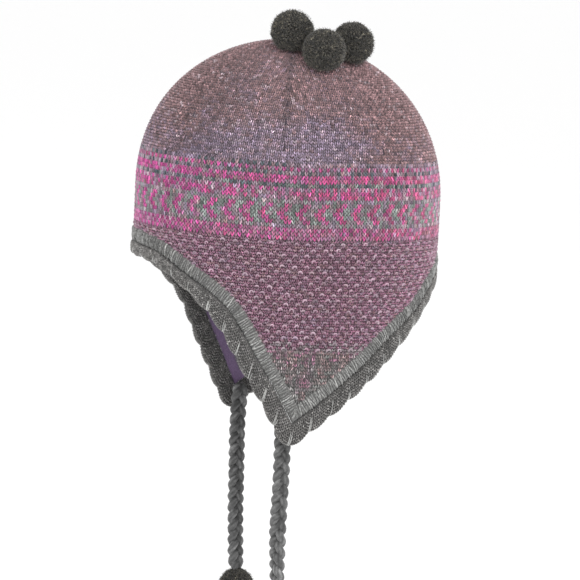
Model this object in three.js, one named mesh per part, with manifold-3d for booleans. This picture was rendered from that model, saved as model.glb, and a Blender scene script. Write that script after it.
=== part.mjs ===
// Knitted chullo hat with ear flaps, scalloped edging, braided ties and pompoms.
// Millimetres, +Z up. The wearer faces -Y and the wearer's left is +X.
// The origin is the inside of the crown's top, where the hat sits on a head.
import * as THREE from 'three';
import { ParametricGeometry } from 'three/addons/geometries/ParametricGeometry.js';
import { mergeVertices } from 'three/addons/utils/BufferGeometryUtils.js';
import Module from 'manifold-3d';

const wasm = await Module();
wasm.setup();

// Outside size of the hat
const hatLength = 200;
const hatWidth = 165;
const crownHeight = 100;
const crownFullness = 2.15;

// Depths of the hat's edge below the outside of the crown's top
const foreheadDepth = 145;
const napeDepth = 150;
const flapDepth = 256;
const flapDrawIn = 0.09;
const drawInStart = 120;
const drawInCurve = 1.3;
const flapTipTurn = -3.6;
const rightFlapSwing = 6.2;
const swingStart = 155;
const leanBack = 3;
const leanEnd = 150;

// Knit, edging and the clearance between pieces that touch
const knitWall = 2.8;
const seamGap = 0.35;
const ribWidth = 8.2;
const ribThickness = 4.6;
const weltWidth = 8.8;
const flapWeltWidth = 13;
const weltWidens = 0.72;
const weltWidest = 0.48;
const weltThickness = 6.6;
const scallopLength = 17;
const scallopDepth = 1.8;
const scallopPinch = 0.3;
const edgingSquareness = 0.62;

// Ties, from the inside of each flap's tip to the pompom on the end
const tieWidth = 10.5;
const tieSides = 10;
const tieSteps = 12;

// Pompoms
const crownPompom = 27.6;
const tiePompom = 24;
const pompomCore = 0.84;
const lockTop = 0.3;
const lockFoot = 0.44;
const lockLength = 0.4;
const lockSides = 5;
const pompomSeat = 0.78;
const wholeBall = 1.2;
const crownLocks = 16;
const tieLocks = 10;

// Mesh fineness
const bodyRows = 9;
const rowCrowding = 1.45;
const samplesPerScallop = 4;
const bodySamplesPerScallop = 2;
const edgingSides = 8;
const roundTableSteps = 720;

// The edge of the hat from a flap's tip (round 0) to the middle of the forehead or nape
// (round 1); drop is the share of the way down from forehead or nape to the tip.
const FRONT_EDGE = [
  { round: 0.00, drop: 1.00 },
  { round: 0.05, drop: 0.935 },
  { round: 0.10, drop: 0.83 },
  { round: 0.15, drop: 0.725 },
  { round: 0.21, drop: 0.61 },
  { round: 0.27, drop: 0.49 },
  { round: 0.33, drop: 0.37 },
  { round: 0.41, drop: 0.25 },
  { round: 0.54, drop: 0.125 },
  { round: 0.70, drop: 0.03 },
  { round: 0.85, drop: 0.00 },
  { round: 1.00, drop: 0.00 },
];
const BACK_EDGE = [
  { round: 0.00, drop: 1.00 },
  { round: 0.05, drop: 0.955 },
  { round: 0.10, drop: 0.895 },
  { round: 0.18, drop: 0.80 },
  { round: 0.27, drop: 0.69 },
  { round: 0.38, drop: 0.55 },
  { round: 0.47, drop: 0.425 },
  { round: 0.56, drop: 0.31 },
  { round: 0.64, drop: 0.215 },
  { round: 0.74, drop: 0.11 },
  { round: 0.87, drop: 0.02 },
  { round: 1.00, drop: 0.00 },
];

// Routes of the ties' centre lines, from the flap down; each lies as it hangs
const LEFT_TIE_ROUTE = [
  [65.0, -5.2, -234.0], [65.2, -4.6, -242.0], [65.3, -4.2, -250.0], [65.4, -3.9, -258.0],
  [65.4, -3.6, -266.0], [65.3, -3.4, -274.0], [65.2, -3.3, -282.0], [65.1, -3.3, -290.0],
  [65.1, -3.3, -298.0], [65.1, -3.2, -306.0], [65.2, -2.9, -314.0], [65.3, -2.5, -322.0],
  [65.4, -2.0, -330.0], [65.4, -1.5, -338.0], [65.4, -1.0, -346.0], [65.3, -0.5, -353.0],
  [65.3, -0.1, -360.0],
];
const RIGHT_TIE_ROUTE = [
  [-65.0, -7.6, -234.0], [-65.2, -7.6, -242.0], [-65.3, -7.7, -250.0], [-65.4, -7.7, -258.0],
  [-65.4, -7.5, -266.0], [-65.3, -7.2, -274.0], [-65.2, -6.8, -282.0], [-65.1, -6.4, -290.0],
  [-65.0, -6.0, -298.0], [-65.0, -5.7, -306.0], [-65.1, -5.3, -314.0], [-65.2, -4.8, -322.0],
  [-65.3, -4.3, -330.0], [-65.4, -3.7, -338.0], [-65.4, -3.1, -346.0], [-65.3, -2.5, -353.0],
  [-65.2, -1.9, -360.0],
];

// The middle pompom's seat on the crown, as shares of the half width and half length,
// and the way from it to the two beside it, in degrees round from +X
const MIDDLE_SEAT = { across: 0.5, along: 0.08 };
const POMPOM_NEIGHBOURS = [
  { name: 'crown_pompom_front', heading: 222 },
  { name: 'crown_pompom_back', heading: 126 },
];

const halfLength = hatLength / 2;
const halfWidth = hatWidth / 2;
const UP = new THREE.Vector3(0, 0, 1);

// Share of the full width that the hat has at a depth below the crown's top
function widthShare(depth) {
  const climb = Math.max(0, 1 - depth / crownHeight);
  const dome = Math.sqrt(1 - Math.pow(climb, crownFullness));
  const below = Math.max(0, (depth - drawInStart) / (flapDepth - drawInStart));
  return dome * (1 - flapDrawIn * Math.pow(below, drawInCurve));
}

// A point on the outside of the knit, at an angle round from +X and a depth
function knitPoint(turn, depth) {
  const share = widthShare(depth);
  const back = leanBack * THREE.MathUtils.smoothstep(depth, 0, leanEnd);
  return new THREE.Vector3(
    halfWidth * share * Math.cos(turn),
    halfLength * share * Math.sin(turn) + back,
    knitWall - depth,
  );
}

// The direction straight out of the knit at that place
function knitNormal(turn, depth) {
  if (depth < 0.01) return UP.clone();
  const step = 1e-3;
  const round = knitPoint(turn + step, depth).sub(knitPoint(turn - step, depth));
  const down = knitPoint(turn, depth + step).sub(knitPoint(turn, depth - step));
  return down.cross(round).normalize();
}

function offKnit(turn, depth, out) {
  return knitPoint(turn, depth).addScaledVector(knitNormal(turn, depth), out);
}

// Running length round the hat at its widest, so that the edge can be laid out flat
const roundTable = [{ turn: -Math.PI, run: 0 }];
for (let k = 1; k <= roundTableSteps; k += 1) {
  const turn = -Math.PI + (2 * Math.PI * k) / roundTableSteps;
  const before = roundTable[k - 1];
  const dx = halfWidth * (Math.cos(turn) - Math.cos(before.turn));
  const dy = halfLength * (Math.sin(turn) - Math.sin(before.turn));
  roundTable.push({ turn, run: before.run + Math.hypot(dx, dy) });
}

function lookUp(table, from, to, value) {
  let k = 1;
  while (k < table.length - 1 && table[k][from] < value) k += 1;
  const low = table[k - 1];
  const high = table[k];
  const share = (value - low[from]) / (high[from] - low[from]);
  return low[to] + share * (high[to] - low[to]);
}

const runAt = (turn) => lookUp(roundTable, 'turn', 'run', turn);
const turnAt = (run) => lookUp(roundTable, 'run', 'turn', run);

// One run of the hat's edge, laid out flat, from the tip of the left flap to a middle line
function edgeRun(rows, middleTurn, middleDepth) {
  const tipTurn = THREE.MathUtils.degToRad(flapTipTurn);
  const points = rows.map(({ round, drop }) => new THREE.Vector2(
    runAt(tipTurn + round * (middleTurn - tipTurn)),
    middleDepth + drop * (flapDepth - middleDepth),
  ));
  return new THREE.SplineCurve(points).getSpacedPoints(roundTableSteps / 4);
}

const outerRuns = [
  edgeRun(FRONT_EDGE, -Math.PI / 2, foreheadDepth),
  edgeRun(BACK_EDGE, Math.PI / 2, napeDepth),
];

// Where two flat polylines first cross, as a point and the index on each
function crossing(first, second) {
  for (let i = 1; i < first.length; i += 1) {
    for (let j = 1; j < second.length; j += 1) {
      const a = first[i - 1];
      const b = second[j - 1];
      const da = first[i].clone().sub(a);
      const db = second[j].clone().sub(b);
      const cross = da.cross(db);
      if (Math.abs(cross) > 1e-9) {
        const gap = b.clone().sub(a);
        const s = gap.cross(db) / cross;
        const t = gap.cross(da) / cross;
        if (s >= 0 && s <= 1 && t >= 0 && t <= 1) return { i, j, at: a.clone().addScaledVector(da, s) };
      }
    }
  }
  return null;
}

// How much further in the welt's inner side lies at a share of the way from a flap's tip
// to forehead or nape: the welt is wider on the flap
function weltExtra(share) {
  return (flapWeltWidth - weltWidth) * (1 - THREE.MathUtils.smoothstep(share, weltWidest, weltWidens));
}

// One run moved into the fabric by a distance, before it is cut at the tip
function movedIn(run, distance) {
  return run.map((point, k) => {
    const extra = weltExtra(k / (run.length - 1)) * Math.min(1, distance / weltWidth);
    const before = run[Math.max(0, k - 1)];
    const after = run[Math.min(run.length - 1, k + 1)];
    const along = after.clone().sub(before).normalize();
    const inward = new THREE.Vector2(-along.y, along.x);
    if (inward.y > 0) inward.negate();
    return point.clone().addScaledVector(inward, distance + extra);
  });
}

// Both runs moved in by a distance, meeting at a point over the flap's tip
function insetRuns(distance) {
  if (distance === 0) return outerRuns;
  const [front, back] = outerRuns.map((run) => movedIn(run, distance));
  const meet = crossing(front, back);
  const cutFront = [meet.at, ...front.slice(meet.i)];
  const cutBack = [meet.at, ...back.slice(meet.j)];
  cutFront.at(-1).x = outerRuns[0].at(-1).x;
  cutBack.at(-1).x = outerRuns[1].at(-1).x;
  return [cutFront, cutBack];
}

function spread(points, count) {
  const lengths = [0];
  for (let k = 1; k < points.length; k += 1) {
    lengths.push(lengths[k - 1] + points[k].distanceTo(points[k - 1]));
  }
  const rows = points.map((point, k) => ({ length: lengths[k], x: point.x, y: point.y }));
  return Array.from({ length: count + 1 }, (_, k) => {
    const length = (lengths.at(-1) * k) / count;
    return new THREE.Vector2(lookUp(rows, 'length', 'x', length), lookUp(rows, 'length', 'y', length));
  });
}

function flatLength(points) {
  return points.slice(1).reduce((sum, point, k) => sum + point.distanceTo(points[k]), 0);
}

const scallopCounts = outerRuns.map((run) => Math.round(flatLength(run) / scallopLength));

// The whole edge, moved in by a distance, as a closed ring of places { turn, depth }; the
// right flap hangs a little further forward than the left;
// it starts at the nape and goes round by the right flap, forehead and left flap
function edgeRing(distance, perScallop) {
  const [front, back] = insetRuns(distance).map((run, k) => spread(run, scallopCounts[k] * perScallop));
  const left = [...front.reverse(), ...back.slice(1)].map((p) => ({ turn: turnAt(p.x), depth: p.y }));
  const right = left.slice(1, -1).reverse().map(({ turn, depth }) => {
    const swing = rightFlapSwing * THREE.MathUtils.smoothstep(depth, swingStart, flapDepth);
    return { turn: Math.PI - turn + THREE.MathUtils.degToRad(swing), depth };
  });
  return [...left, ...right];
}

// A closed surface from a grid of places, round the hat by columns
function gridGeometry(columns, rows, place) {
  const target = (u, v, point) => point.copy(place(Math.round(u * columns) % columns, Math.round(v * rows)));
  return new ParametricGeometry(target, columns, rows);
}

function knit(color) {
  return new THREE.MeshStandardMaterial({ color, roughness: 0.95, metalness: 0 });
}

const mauveKnit = knit(0x85717a);
const greyKnit = knit(0x6c6b68);
const charcoalWool = knit(0x42413b);

function named(name, geometry, material) {
  const mesh = new THREE.Mesh(geometry, material);
  mesh.name = name;
  return mesh;
}

// Crown, pattern band and both flaps: one wall, open below
const bodyInset = weltWidth + seamGap + ribWidth + seamGap;

function knitBody() {
  const ring = edgeRing(bodyInset, bodySamplesPerScallop);
  const place = (column, row) => {
    const { turn, depth } = ring[column];
    const inner = row <= bodyRows;
    const share = inner ? row / bodyRows : (2 * bodyRows + 1 - row) / bodyRows;
    const here = depth * Math.pow(share, rowCrowding);
    return offKnit(turn, here, inner ? -knitWall : 0);
  };
  return named('knit_body', gridGeometry(ring.length, 2 * bodyRows + 1, place), mauveKnit);
}

// A rounded bar along the edge, between two insets, bulging on both faces of the knit
function edging(name, low, high, thickness, perScallop, shape) {
  const lowRing = edgeRing(low, perScallop);
  const highRing = edgeRing(high, perScallop);
  const place = (column, side) => {
    const angle = (-2 * Math.PI * (side + 0.5)) / edgingSides;
    const across = Math.sign(Math.cos(angle)) * Math.pow(Math.abs(Math.cos(angle)), edgingSquareness);
    const out = Math.sign(Math.sin(angle)) * Math.pow(Math.abs(Math.sin(angle)), edgingSquareness);
    const fit = 1 / Math.pow(Math.cos(Math.PI / edgingSides), edgingSquareness);
    const wave = shape(column);
    const share = 0.5 + 0.5 * across * fit;
    const lowered = share - wave.spread * (1 - share);
    const from = lowRing[column];
    const to = highRing[column];
    const turn = from.turn + lowered * (to.turn - from.turn);
    const depth = from.depth + lowered * (to.depth - from.depth);
    return offKnit(turn, depth, -knitWall / 2 + 0.5 * thickness * wave.swell * out * fit);
  };
  return named(name, gridGeometry(lowRing.length, edgingSides, place), greyKnit);
}

function edgeRib() {
  const plain = () => ({ spread: 0, swell: 1 });
  const low = weltWidth + seamGap;
  return edging('edge_rib', low, low + ribWidth, ribThickness, bodySamplesPerScallop, plain);
}

function edgeScallops() {
  const scallop = (column) => {
    const rise = Math.sin((Math.PI * (column % samplesPerScallop)) / samplesPerScallop);
    return { spread: (scallopDepth * (rise - 1)) / weltWidth, swell: 1 - scallopPinch * (1 - rise) };
  };
  return edging('edge_scallops', 0, weltWidth, weltThickness, samplesPerScallop, scallop);
}

// A plain round tube along a tie's centre line
function tie(name, route) {
  const points = route.map(([x, y, z]) => new THREE.Vector3(x, y, z));
  const section = new THREE.Shape();
  for (let k = 0; k < tieSides; k += 1) {
    const angle = (2 * Math.PI * k) / tieSides;
    const x = 0.5 * tieWidth * Math.cos(angle);
    const y = 0.5 * tieWidth * Math.sin(angle);
    if (k === 0) section.moveTo(x, y);
    else section.lineTo(x, y);
  }
  section.closePath();
  const extrudePath = new THREE.CatmullRomCurve3(points);
  const geometry = new THREE.ExtrudeGeometry(section, { steps: tieSteps, bevelEnabled: false, extrudePath });
  return named(name, geometry, greyKnit);
}

function toSolid(geometry) {
  const bare = geometry.clone();
  bare.deleteAttribute('normal');
  bare.deleteAttribute('uv');
  const merged = mergeVertices(bare, 1e-4);
  const vertProperties = new Float32Array(merged.attributes.position.array);
  const triVerts = new Uint32Array(merged.index.array);
  return new wasm.Manifold(new wasm.Mesh({ numProp: 3, vertProperties, triVerts }));
}

function toGeometry(solid) {
  const { vertProperties, triVerts } = solid.getMesh();
  const geometry = new THREE.BufferGeometry();
  geometry.setAttribute('position', new THREE.BufferAttribute(vertProperties, 3));
  geometry.setIndex(new THREE.BufferAttribute(triVerts, 1));
  geometry.computeVertexNormals();
  return geometry;
}

// A ball of blunt locks of wool on a core; seat is the share of the radius left under the
// middle, where the ball is pressed flat, and over 1 it stays whole
function pompomBall(diameter, locks, seat) {
  const radius = diameter / 2;
  let ball = toSolid(new THREE.IcosahedronGeometry(radius * pompomCore, 1));
  const golden = Math.PI * (3 - Math.sqrt(5));
  for (let k = 0; k < locks; k += 1) {
    const z = 1 - (2 * k + 1) / locks;
    const rim = Math.sqrt(1 - z * z);
    const way = new THREE.Vector3(rim * Math.cos(golden * k), rim * Math.sin(golden * k), z);
    const lock = new THREE.CylinderGeometry(radius * lockTop, radius * lockFoot, radius * lockLength, lockSides);
    lock.translate(0, radius * (1 - 0.5 * lockLength), 0);
    lock.applyQuaternion(new THREE.Quaternion().setFromUnitVectors(new THREE.Vector3(0, 1, 0), way));
    ball = ball.add(toSolid(lock));
  }
  const below = new THREE.BoxGeometry(diameter * 2, diameter * 2, diameter);
  below.translate(0, 0, -radius * seat - radius);
  return toGeometry(ball.subtract(toSolid(below)));
}

// The depth and turn of the crown under a place given by its shares of the half sizes
function crownPlace(across, along) {
  const share = Math.hypot(across, along);
  const depth = crownHeight * (1 - Math.pow(1 - share * share, 1 / crownFullness));
  return { turn: Math.atan2(along, across), depth };
}

function pompomCentre(seat) {
  const { turn, depth } = crownPlace(seat.across, seat.along);
  return offKnit(turn, depth, seamGap + 0.5 * crownPompom * pompomSeat);
}

// The seat beside another one, so far along a heading that the two balls just clear
function seatBeside(seat, heading) {
  const way = THREE.MathUtils.degToRad(heading);
  let near = 0;
  let far = 2 * crownPompom;
  const stepped = (step) => ({
    across: seat.across + (step * Math.cos(way)) / halfWidth,
    along: seat.along + (step * Math.sin(way)) / halfLength,
  });
  const wanted = crownPompom + seamGap;
  for (let k = 0; k < 40; k += 1) {
    const middle = 0.5 * (near + far);
    const apart = pompomCentre(stepped(middle)).distanceTo(pompomCentre(seat));
    if (apart < wanted) near = middle;
    else far = middle;
  }
  return stepped(far);
}

function crownPompomMesh(name, seat) {
  const { turn, depth } = crownPlace(seat.across, seat.along);
  const mesh = named(name, pompomBall(crownPompom, crownLocks, pompomSeat), charcoalWool);
  mesh.position.copy(pompomCentre(seat));
  mesh.quaternion.setFromUnitVectors(UP, knitNormal(turn, depth));
  return mesh;
}

// The ball on the end of a tie hangs on from the tie's last stretch
function tiePompomMesh(name, route) {
  const end = new THREE.Vector3(...route.at(-1));
  const above = new THREE.Vector3(...route.at(-2));
  const up = above.sub(end).normalize();
  const mesh = named(name, pompomBall(tiePompom, tieLocks, wholeBall), charcoalWool);
  const gap = seamGap + 0.5 * tiePompom;
  mesh.position.copy(end).addScaledVector(up, -gap);
  return mesh;
}

const group = new THREE.Group();
group.name = 'chullo_hat';
group.add(knitBody(), edgeRib(), edgeScallops());
group.add(tie('tie_left', LEFT_TIE_ROUTE), tie('tie_right', RIGHT_TIE_ROUTE));
group.add(crownPompomMesh('crown_pompom_middle', MIDDLE_SEAT));
for (const { name, heading } of POMPOM_NEIGHBOURS) {
  group.add(crownPompomMesh(name, seatBeside(MIDDLE_SEAT, heading)));
}
group.add(tiePompomMesh('tie_pompom_left', LEFT_TIE_ROUTE));
group.add(tiePompomMesh('tie_pompom_right', RIGHT_TIE_ROUTE));

export default group;
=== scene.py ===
"""A knitted chullo hat with ear flaps, scalloped edging, braided ties and wool pompoms.

Lengths inside the shape functions are millimetres, as in the hat's CAD; meshes are made in metres.
"""

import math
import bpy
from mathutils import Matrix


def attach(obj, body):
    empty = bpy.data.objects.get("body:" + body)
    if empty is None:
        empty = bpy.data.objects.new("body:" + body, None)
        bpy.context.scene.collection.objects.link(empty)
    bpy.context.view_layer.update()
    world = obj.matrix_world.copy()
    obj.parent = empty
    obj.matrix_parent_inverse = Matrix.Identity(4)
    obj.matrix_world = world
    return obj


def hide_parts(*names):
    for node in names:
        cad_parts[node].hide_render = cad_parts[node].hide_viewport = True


bl_info = {
    "name": "Knitted Chullo Hat",
    "version": (1, 0, 0),
    "blender": (4, 5, 0),
    "location": "View3D > Sidebar > Chullo",
    "description": "Dresses the CAD frame of a chullo hat in knitted stitches, braids and pompoms",
    "category": "Add Mesh",
}

import bmesh
import bpy
import numpy as np
from mathutils import Matrix, Vector, noise

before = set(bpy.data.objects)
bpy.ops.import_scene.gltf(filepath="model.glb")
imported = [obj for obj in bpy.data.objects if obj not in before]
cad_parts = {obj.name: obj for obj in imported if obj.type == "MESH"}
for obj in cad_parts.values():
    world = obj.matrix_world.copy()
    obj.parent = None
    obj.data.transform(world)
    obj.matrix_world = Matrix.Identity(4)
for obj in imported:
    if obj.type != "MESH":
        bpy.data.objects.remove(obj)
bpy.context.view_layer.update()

MM = 0.001

# The hat's form, as in its CAD
HALF_LENGTH = 100.0
HALF_WIDTH = 82.5
CROWN_HEIGHT = 100.0
CROWN_FULLNESS = 2.15
FOREHEAD_DEPTH = 145.0
NAPE_DEPTH = 150.0
FLAP_DEPTH = 256.0
FLAP_DRAW_IN = 0.09
DRAW_IN_START = 120.0
DRAW_IN_CURVE = 1.3
FLAP_TIP_TURN = math.radians(-3.6)
RIGHT_FLAP_SWING = math.radians(6.2)
SWING_START = 155.0
LEAN_BACK = 3.0
LEAN_END = 150.0
KNIT_WALL = 2.8
SEAM_GAP = 0.35
WELT_WIDTH = 8.8
FLAP_WELT_WIDTH = 13.0
WELT_WIDENS = 0.72
WELT_WIDEST = 0.48
WELT_THICKNESS = 6.6
RIB_WIDTH = 8.2
RIB_THICKNESS = 4.6
RIB_INSET = WELT_WIDTH + SEAM_GAP
BODY_INSET = RIB_INSET + RIB_WIDTH + SEAM_GAP
SCALLOPS_PER_RUN = 11
SCALLOPS = 4 * SCALLOPS_PER_RUN
SCALLOP_DEPTH = 1.3
SCALLOP_PINCH = 0.3
SQUARENESS = 0.62
CROWN_POMPOM = 27.6
TIE_POMPOM = 24.0
POMPOM_SEAT = 0.78

# The edge, from a flap's tip (round 0) to the middle of forehead or nape (round 1), and
# its drop as a share of the way down to the tip
FRONT_EDGE = np.array([
    (0.00, 1.000), (0.05, 0.935), (0.10, 0.830), (0.15, 0.725), (0.21, 0.610), (0.27, 0.490),
    (0.33, 0.370), (0.41, 0.250), (0.54, 0.125), (0.70, 0.030), (0.85, 0.000), (1.00, 0.000),
])
BACK_EDGE = np.array([
    (0.00, 1.000), (0.05, 0.955), (0.10, 0.895), (0.18, 0.800), (0.27, 0.690), (0.38, 0.550),
    (0.47, 0.425), (0.56, 0.310), (0.64, 0.215), (0.74, 0.110), (0.87, 0.020), (1.00, 0.000),
])

# Centre lines of the ties, from inside the flaps' tips down to the pompoms
LEFT_TIE_ROUTE = [
    (65.0, -5.2, -234.0), (65.2, -4.6, -242.0), (65.3, -4.2, -250.0), (65.4, -3.9, -258.0),
    (65.4, -3.6, -266.0), (65.3, -3.4, -274.0), (65.2, -3.3, -282.0), (65.1, -3.3, -290.0),
    (65.1, -3.3, -298.0), (65.1, -3.2, -306.0), (65.2, -2.9, -314.0), (65.3, -2.5, -322.0),
    (65.4, -2.0, -330.0), (65.4, -1.5, -338.0), (65.4, -1.0, -346.0), (65.3, -0.5, -353.0),
    (65.3, -0.1, -360.0),
]
RIGHT_TIE_ROUTE = [
    (-65.0, -7.6, -234.0), (-65.2, -7.6, -242.0), (-65.3, -7.7, -250.0), (-65.4, -7.7, -258.0),
    (-65.4, -7.5, -266.0), (-65.3, -7.2, -274.0), (-65.2, -6.8, -282.0), (-65.1, -6.4, -290.0),
    (-65.0, -6.0, -298.0), (-65.0, -5.7, -306.0), (-65.1, -5.3, -314.0), (-65.2, -4.8, -322.0),
    (-65.3, -4.3, -330.0), (-65.4, -3.7, -338.0), (-65.4, -3.1, -346.0), (-65.3, -2.5, -353.0),
    (-65.2, -1.9, -360.0),
]
TIE_LENGTH = 126.3

# Seats of the crown's pompoms, as shares of the half width and half length
MIDDLE_SEAT = np.array([0.5, 0.08])
POMPOM_HEADINGS = {"crown_pompom_front": 222.0, "crown_pompom_back": 126.0}

# The pattern band, a row of stitches a line, from the crown down. Each row names the
# repeat that colours it.
BAND_TOP = 74.9
BAND_PITCH = 2.55
BAND_ROWS = [
    "teal dashes", "pink dots", "dark dots", "pink line", "pink line", "dark grey", "pink and grey",
    "soft pink line", "mauve and pink", "green dashes", "chevron", "chevron", "chevron apex",
    "chevron", "chevron", "green dashes", "bird's eye", "bird's eye", "bird's eye",
]
CHEVRON_APEX_ROW = BAND_ROWS.index("chevron apex")
BAND_STITCHES = 240
CHEVRON_REPEAT = 5
# How much higher the band and the rows under it stand at the back of the hat
BACK_RISE = 1.4
MOSS_TOP = 122.2
MOSS_PLAIN = 1.94
MOSS_DOT_EVERY = 4
# Width, height and thickness of a raised dot
MOSS_DOT_FIT = np.array([3.0, 2.7, 1.5])
TIP_TOP = 193.0
# Y and Z of a faint pink fleck in the grey tip of the left flap
PINK_FLECK = (3.8, -210.0)

# The crown's wedges, the turn of the first decrease line, and the depths over which the
# darker line in front fades into the cloth
CROWN_WEDGES = 8
FIRST_DECREASE = math.radians(-12.0)
SEAM_FADE = (42.0, 72.0)
SEAM_SHADE = 0.42

# How deep the stitches' middles and the ground behind them lie in the wall, how far the
# wall runs under the ridge, and how close to the ridge stitches are knitted
STITCH_SINK = 1.0
GROUND_SINK = 0.95
WALL_UNDER_RIDGE = 4.0
STITCH_LIMIT = BODY_INSET - 0.8

# Samples of the edge in each scallop, and the samples on each side that smooth its direction
EDGE_SAMPLES = 16
SMOOTHING = 5
SCALLOP_LENGTH = 17.0

# Steps of the edge's runs, of the braids and round an edging's section, the points of a
# pompom's core, and the sides of the edgings' cores
RUN_STEPS = 180
BRAID_STEPS = 150
SECTION_STEPS = 1440
CORE_POINTS = 420
CORE_SIDES = 14

# The photograph's width in pixels, the point on the hat's axis that the camera is set
# against, and how far that point is from the picture's middle, in pixels across and down
PHOTO_PIXELS = 580.0
HAT_POINT = Vector((0.0, 0.0, -0.1052))
PICTURE_SHIFT = (6.0, 85.0)
FLOOR_HALF = 60000.0
SENSOR_WIDTH = 36.0

# Each wool's fibres in a metre, marl, bump in metres and sheen
WOOLS = {
    "Marled knit": (1500.0, 0.35, 0.0002, 0.25),
    "Knit ground": (700.0, 0.4, 0.0006, 0.25),
    "Braid wool": (1800.0, 0.35, 0.0002, 0.25),
    "Grey edging wool": (1500.0, 0.35, 0.0002, 0.25),
    "Marled ridge wool": (900.0, 0.75, 0.00035, 0.25),
    "Pompom wool": (900.0, 0.7, 0.0002, 0.3),
}
BAKE_MARGIN = 0.12


def linear(red, green, blue):
    """A colour given by its 8-bit display values, as scene linear values."""
    values = np.array([red, green, blue]) / 255.0
    return tuple(np.where(values <= 0.04045, values / 12.92, ((values + 0.055) / 1.055) ** 2.4))


# Settings


def length_property(name, description, default):
    return bpy.props.FloatProperty(
        name=name, description=description, default=default, min=0.0, unit="LENGTH", precision=5
    )


def angle_property(name, description, degrees):
    return bpy.props.FloatProperty(
        name=name, description=description, default=math.radians(degrees), subtype="ANGLE"
    )


def power_property(name, description, watts):
    return bpy.props.FloatProperty(name=name, description=description, default=watts, unit="POWER")


def colour_property(name, description, *display):
    return bpy.props.FloatVectorProperty(
        name=name, description=description, default=linear(*display), size=3, min=0.0, max=1.0,
        subtype="COLOR",
    )


class ChulloKnitSettings(bpy.types.PropertyGroup):
    """Sizes of the knitted stitches"""

    crown_stitch: length_property("Crown stitch", "Width of a stitch in the crown", 0.0026)
    crown_row: length_property("Crown row", "Height of a row in the crown", 0.0019)
    tip_stitch: length_property("Tip stitch", "Width of a stitch in the flaps' tips", 0.0024)
    yarn_height: length_property("Yarn height", "How far the yarn stands on the cloth", 0.0013)
    unevenness: bpy.props.FloatProperty(
        name="Unevenness", description="How far stitches lean at random, in radians",
        default=0.16, min=0.0, max=1.0, subtype="ANGLE",
    )


class ChulloTrimSettings(bpy.types.PropertyGroup):
    """Sizes of the edging"""

    rib_pitch: length_property("Rib pitch", "From one cross rib of the ridge to the next", 0.00155)
    rib_wire: length_property("Rib yarn", "Thickness of a cross rib", 0.001)
    welt_stitch: length_property("Welt stitch", "Width of a stitch in the scalloped welt", 0.0018)
    tack_thread: length_property("Tack thread", "Thickness of the threads at each scallop", 0.0005)


class ChulloTieSettings(bpy.types.PropertyGroup):
    """Sizes of the braided ties"""

    strand: length_property("Strand", "Thickness of one strand of the braid", 0.0050)
    width: length_property("Width", "Width of the flat braid", 0.0110)
    thickness: length_property("Thickness", "Thickness of the flat braid", 0.0080)
    plait: length_property("Plait", "Length in which a strand comes back to its side", 0.0222)
    plies: bpy.props.IntProperty(name="Plies", description="Yarns in a strand", default=5, min=2)


class ChulloPompomSettings(bpy.types.PropertyGroup):
    """Sizes of the wool in the pompoms"""

    tuft: length_property("Tuft", "Thickness of one cut end of yarn", 0.0011)
    hair: length_property("Hair", "Thickness of a loose fibre", 0.00016)
    tufts: bpy.props.IntProperty(name="Tufts", description="Cut ends on a pompom", default=2300, min=50)
    hairs: bpy.props.IntProperty(name="Hairs", description="Loose fibres", default=1300, min=0)


class ChulloColours(bpy.types.PropertyGroup):
    """Colours of the yarns"""

    mauve: colour_property("Mauve", "Main yarn of crown and flaps", 154, 132, 144)
    rose_brown: colour_property("Rose brown", "Browner strand of the main yarn", 150, 114, 109)
    lilac: colour_property("Lilac", "Lilac grey strand of the main yarn", 146, 132, 158)
    pale: colour_property("Pale", "Palest strand of the main yarn", 196, 180, 188)
    pink: colour_property("Pink", "Pattern yarn", 184, 80, 144)
    salmon: colour_property("Salmon", "Warmer stretch of the pattern yarn", 202, 86, 132)
    grey_green: colour_property("Grey green", "Second yarn of the pattern", 134, 142, 138)
    teal: colour_property("Teal", "Dark yarn of the pattern", 84, 96, 102)
    plum: colour_property("Plum", "Ground of the flaps", 152, 103, 128)
    moss_dot: colour_property("Moss dot", "Raised dots of the flaps", 172, 150, 162)
    light_grey: colour_property("Light grey", "Ribbed ridge and flap tips", 150, 150, 148)
    mid_grey: colour_property("Mid grey", "Scalloped welt", 124, 122, 120)
    braid_grey: colour_property("Braid grey", "Braided ties", 98, 98, 98)
    charcoal: colour_property("Charcoal", "Pompoms", 54, 51, 44)


class ChulloStageSettings(bpy.types.PropertyGroup):
    """Camera, floor and light"""

    azimuth: angle_property("Azimuth", "Camera's way round the hat", 78.0)
    elevation: angle_property("Elevation", "Camera's angle above level", 5.5)
    roll: angle_property("Roll", "Camera's roll", 4.0)
    distance: length_property("Distance", "From camera to hat", 2.2)
    view_width: length_property("View width", "Width of the picture at the hat", 0.3776)
    floor: length_property("Floor drop", "Floor below the inside of the crown", 0.405)
    sky: bpy.props.FloatProperty(name="Sky", description="Strength of the light all round", default=1.0)
    key: power_property("Key", "Power of the main light", 19.0)
    fill: power_property("Fill", "Power of the side light", 6.0)


# The hat's form


def smoothstep(value, low, high):
    share = np.clip((value - low) / (high - low), 0.0, 1.0)
    return share * share * (3.0 - 2.0 * share)


def width_share(depth):
    """The hat's width at a depth as a share of its full width."""
    climb = np.clip(1.0 - depth / CROWN_HEIGHT, 0.0, None)
    dome = np.sqrt(np.clip(1.0 - climb ** CROWN_FULLNESS, 0.0, None))
    below = np.clip((depth - DRAW_IN_START) / (FLAP_DEPTH - DRAW_IN_START), 0.0, None)
    return dome * (1.0 - FLAP_DRAW_IN * below ** DRAW_IN_CURVE)


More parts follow.
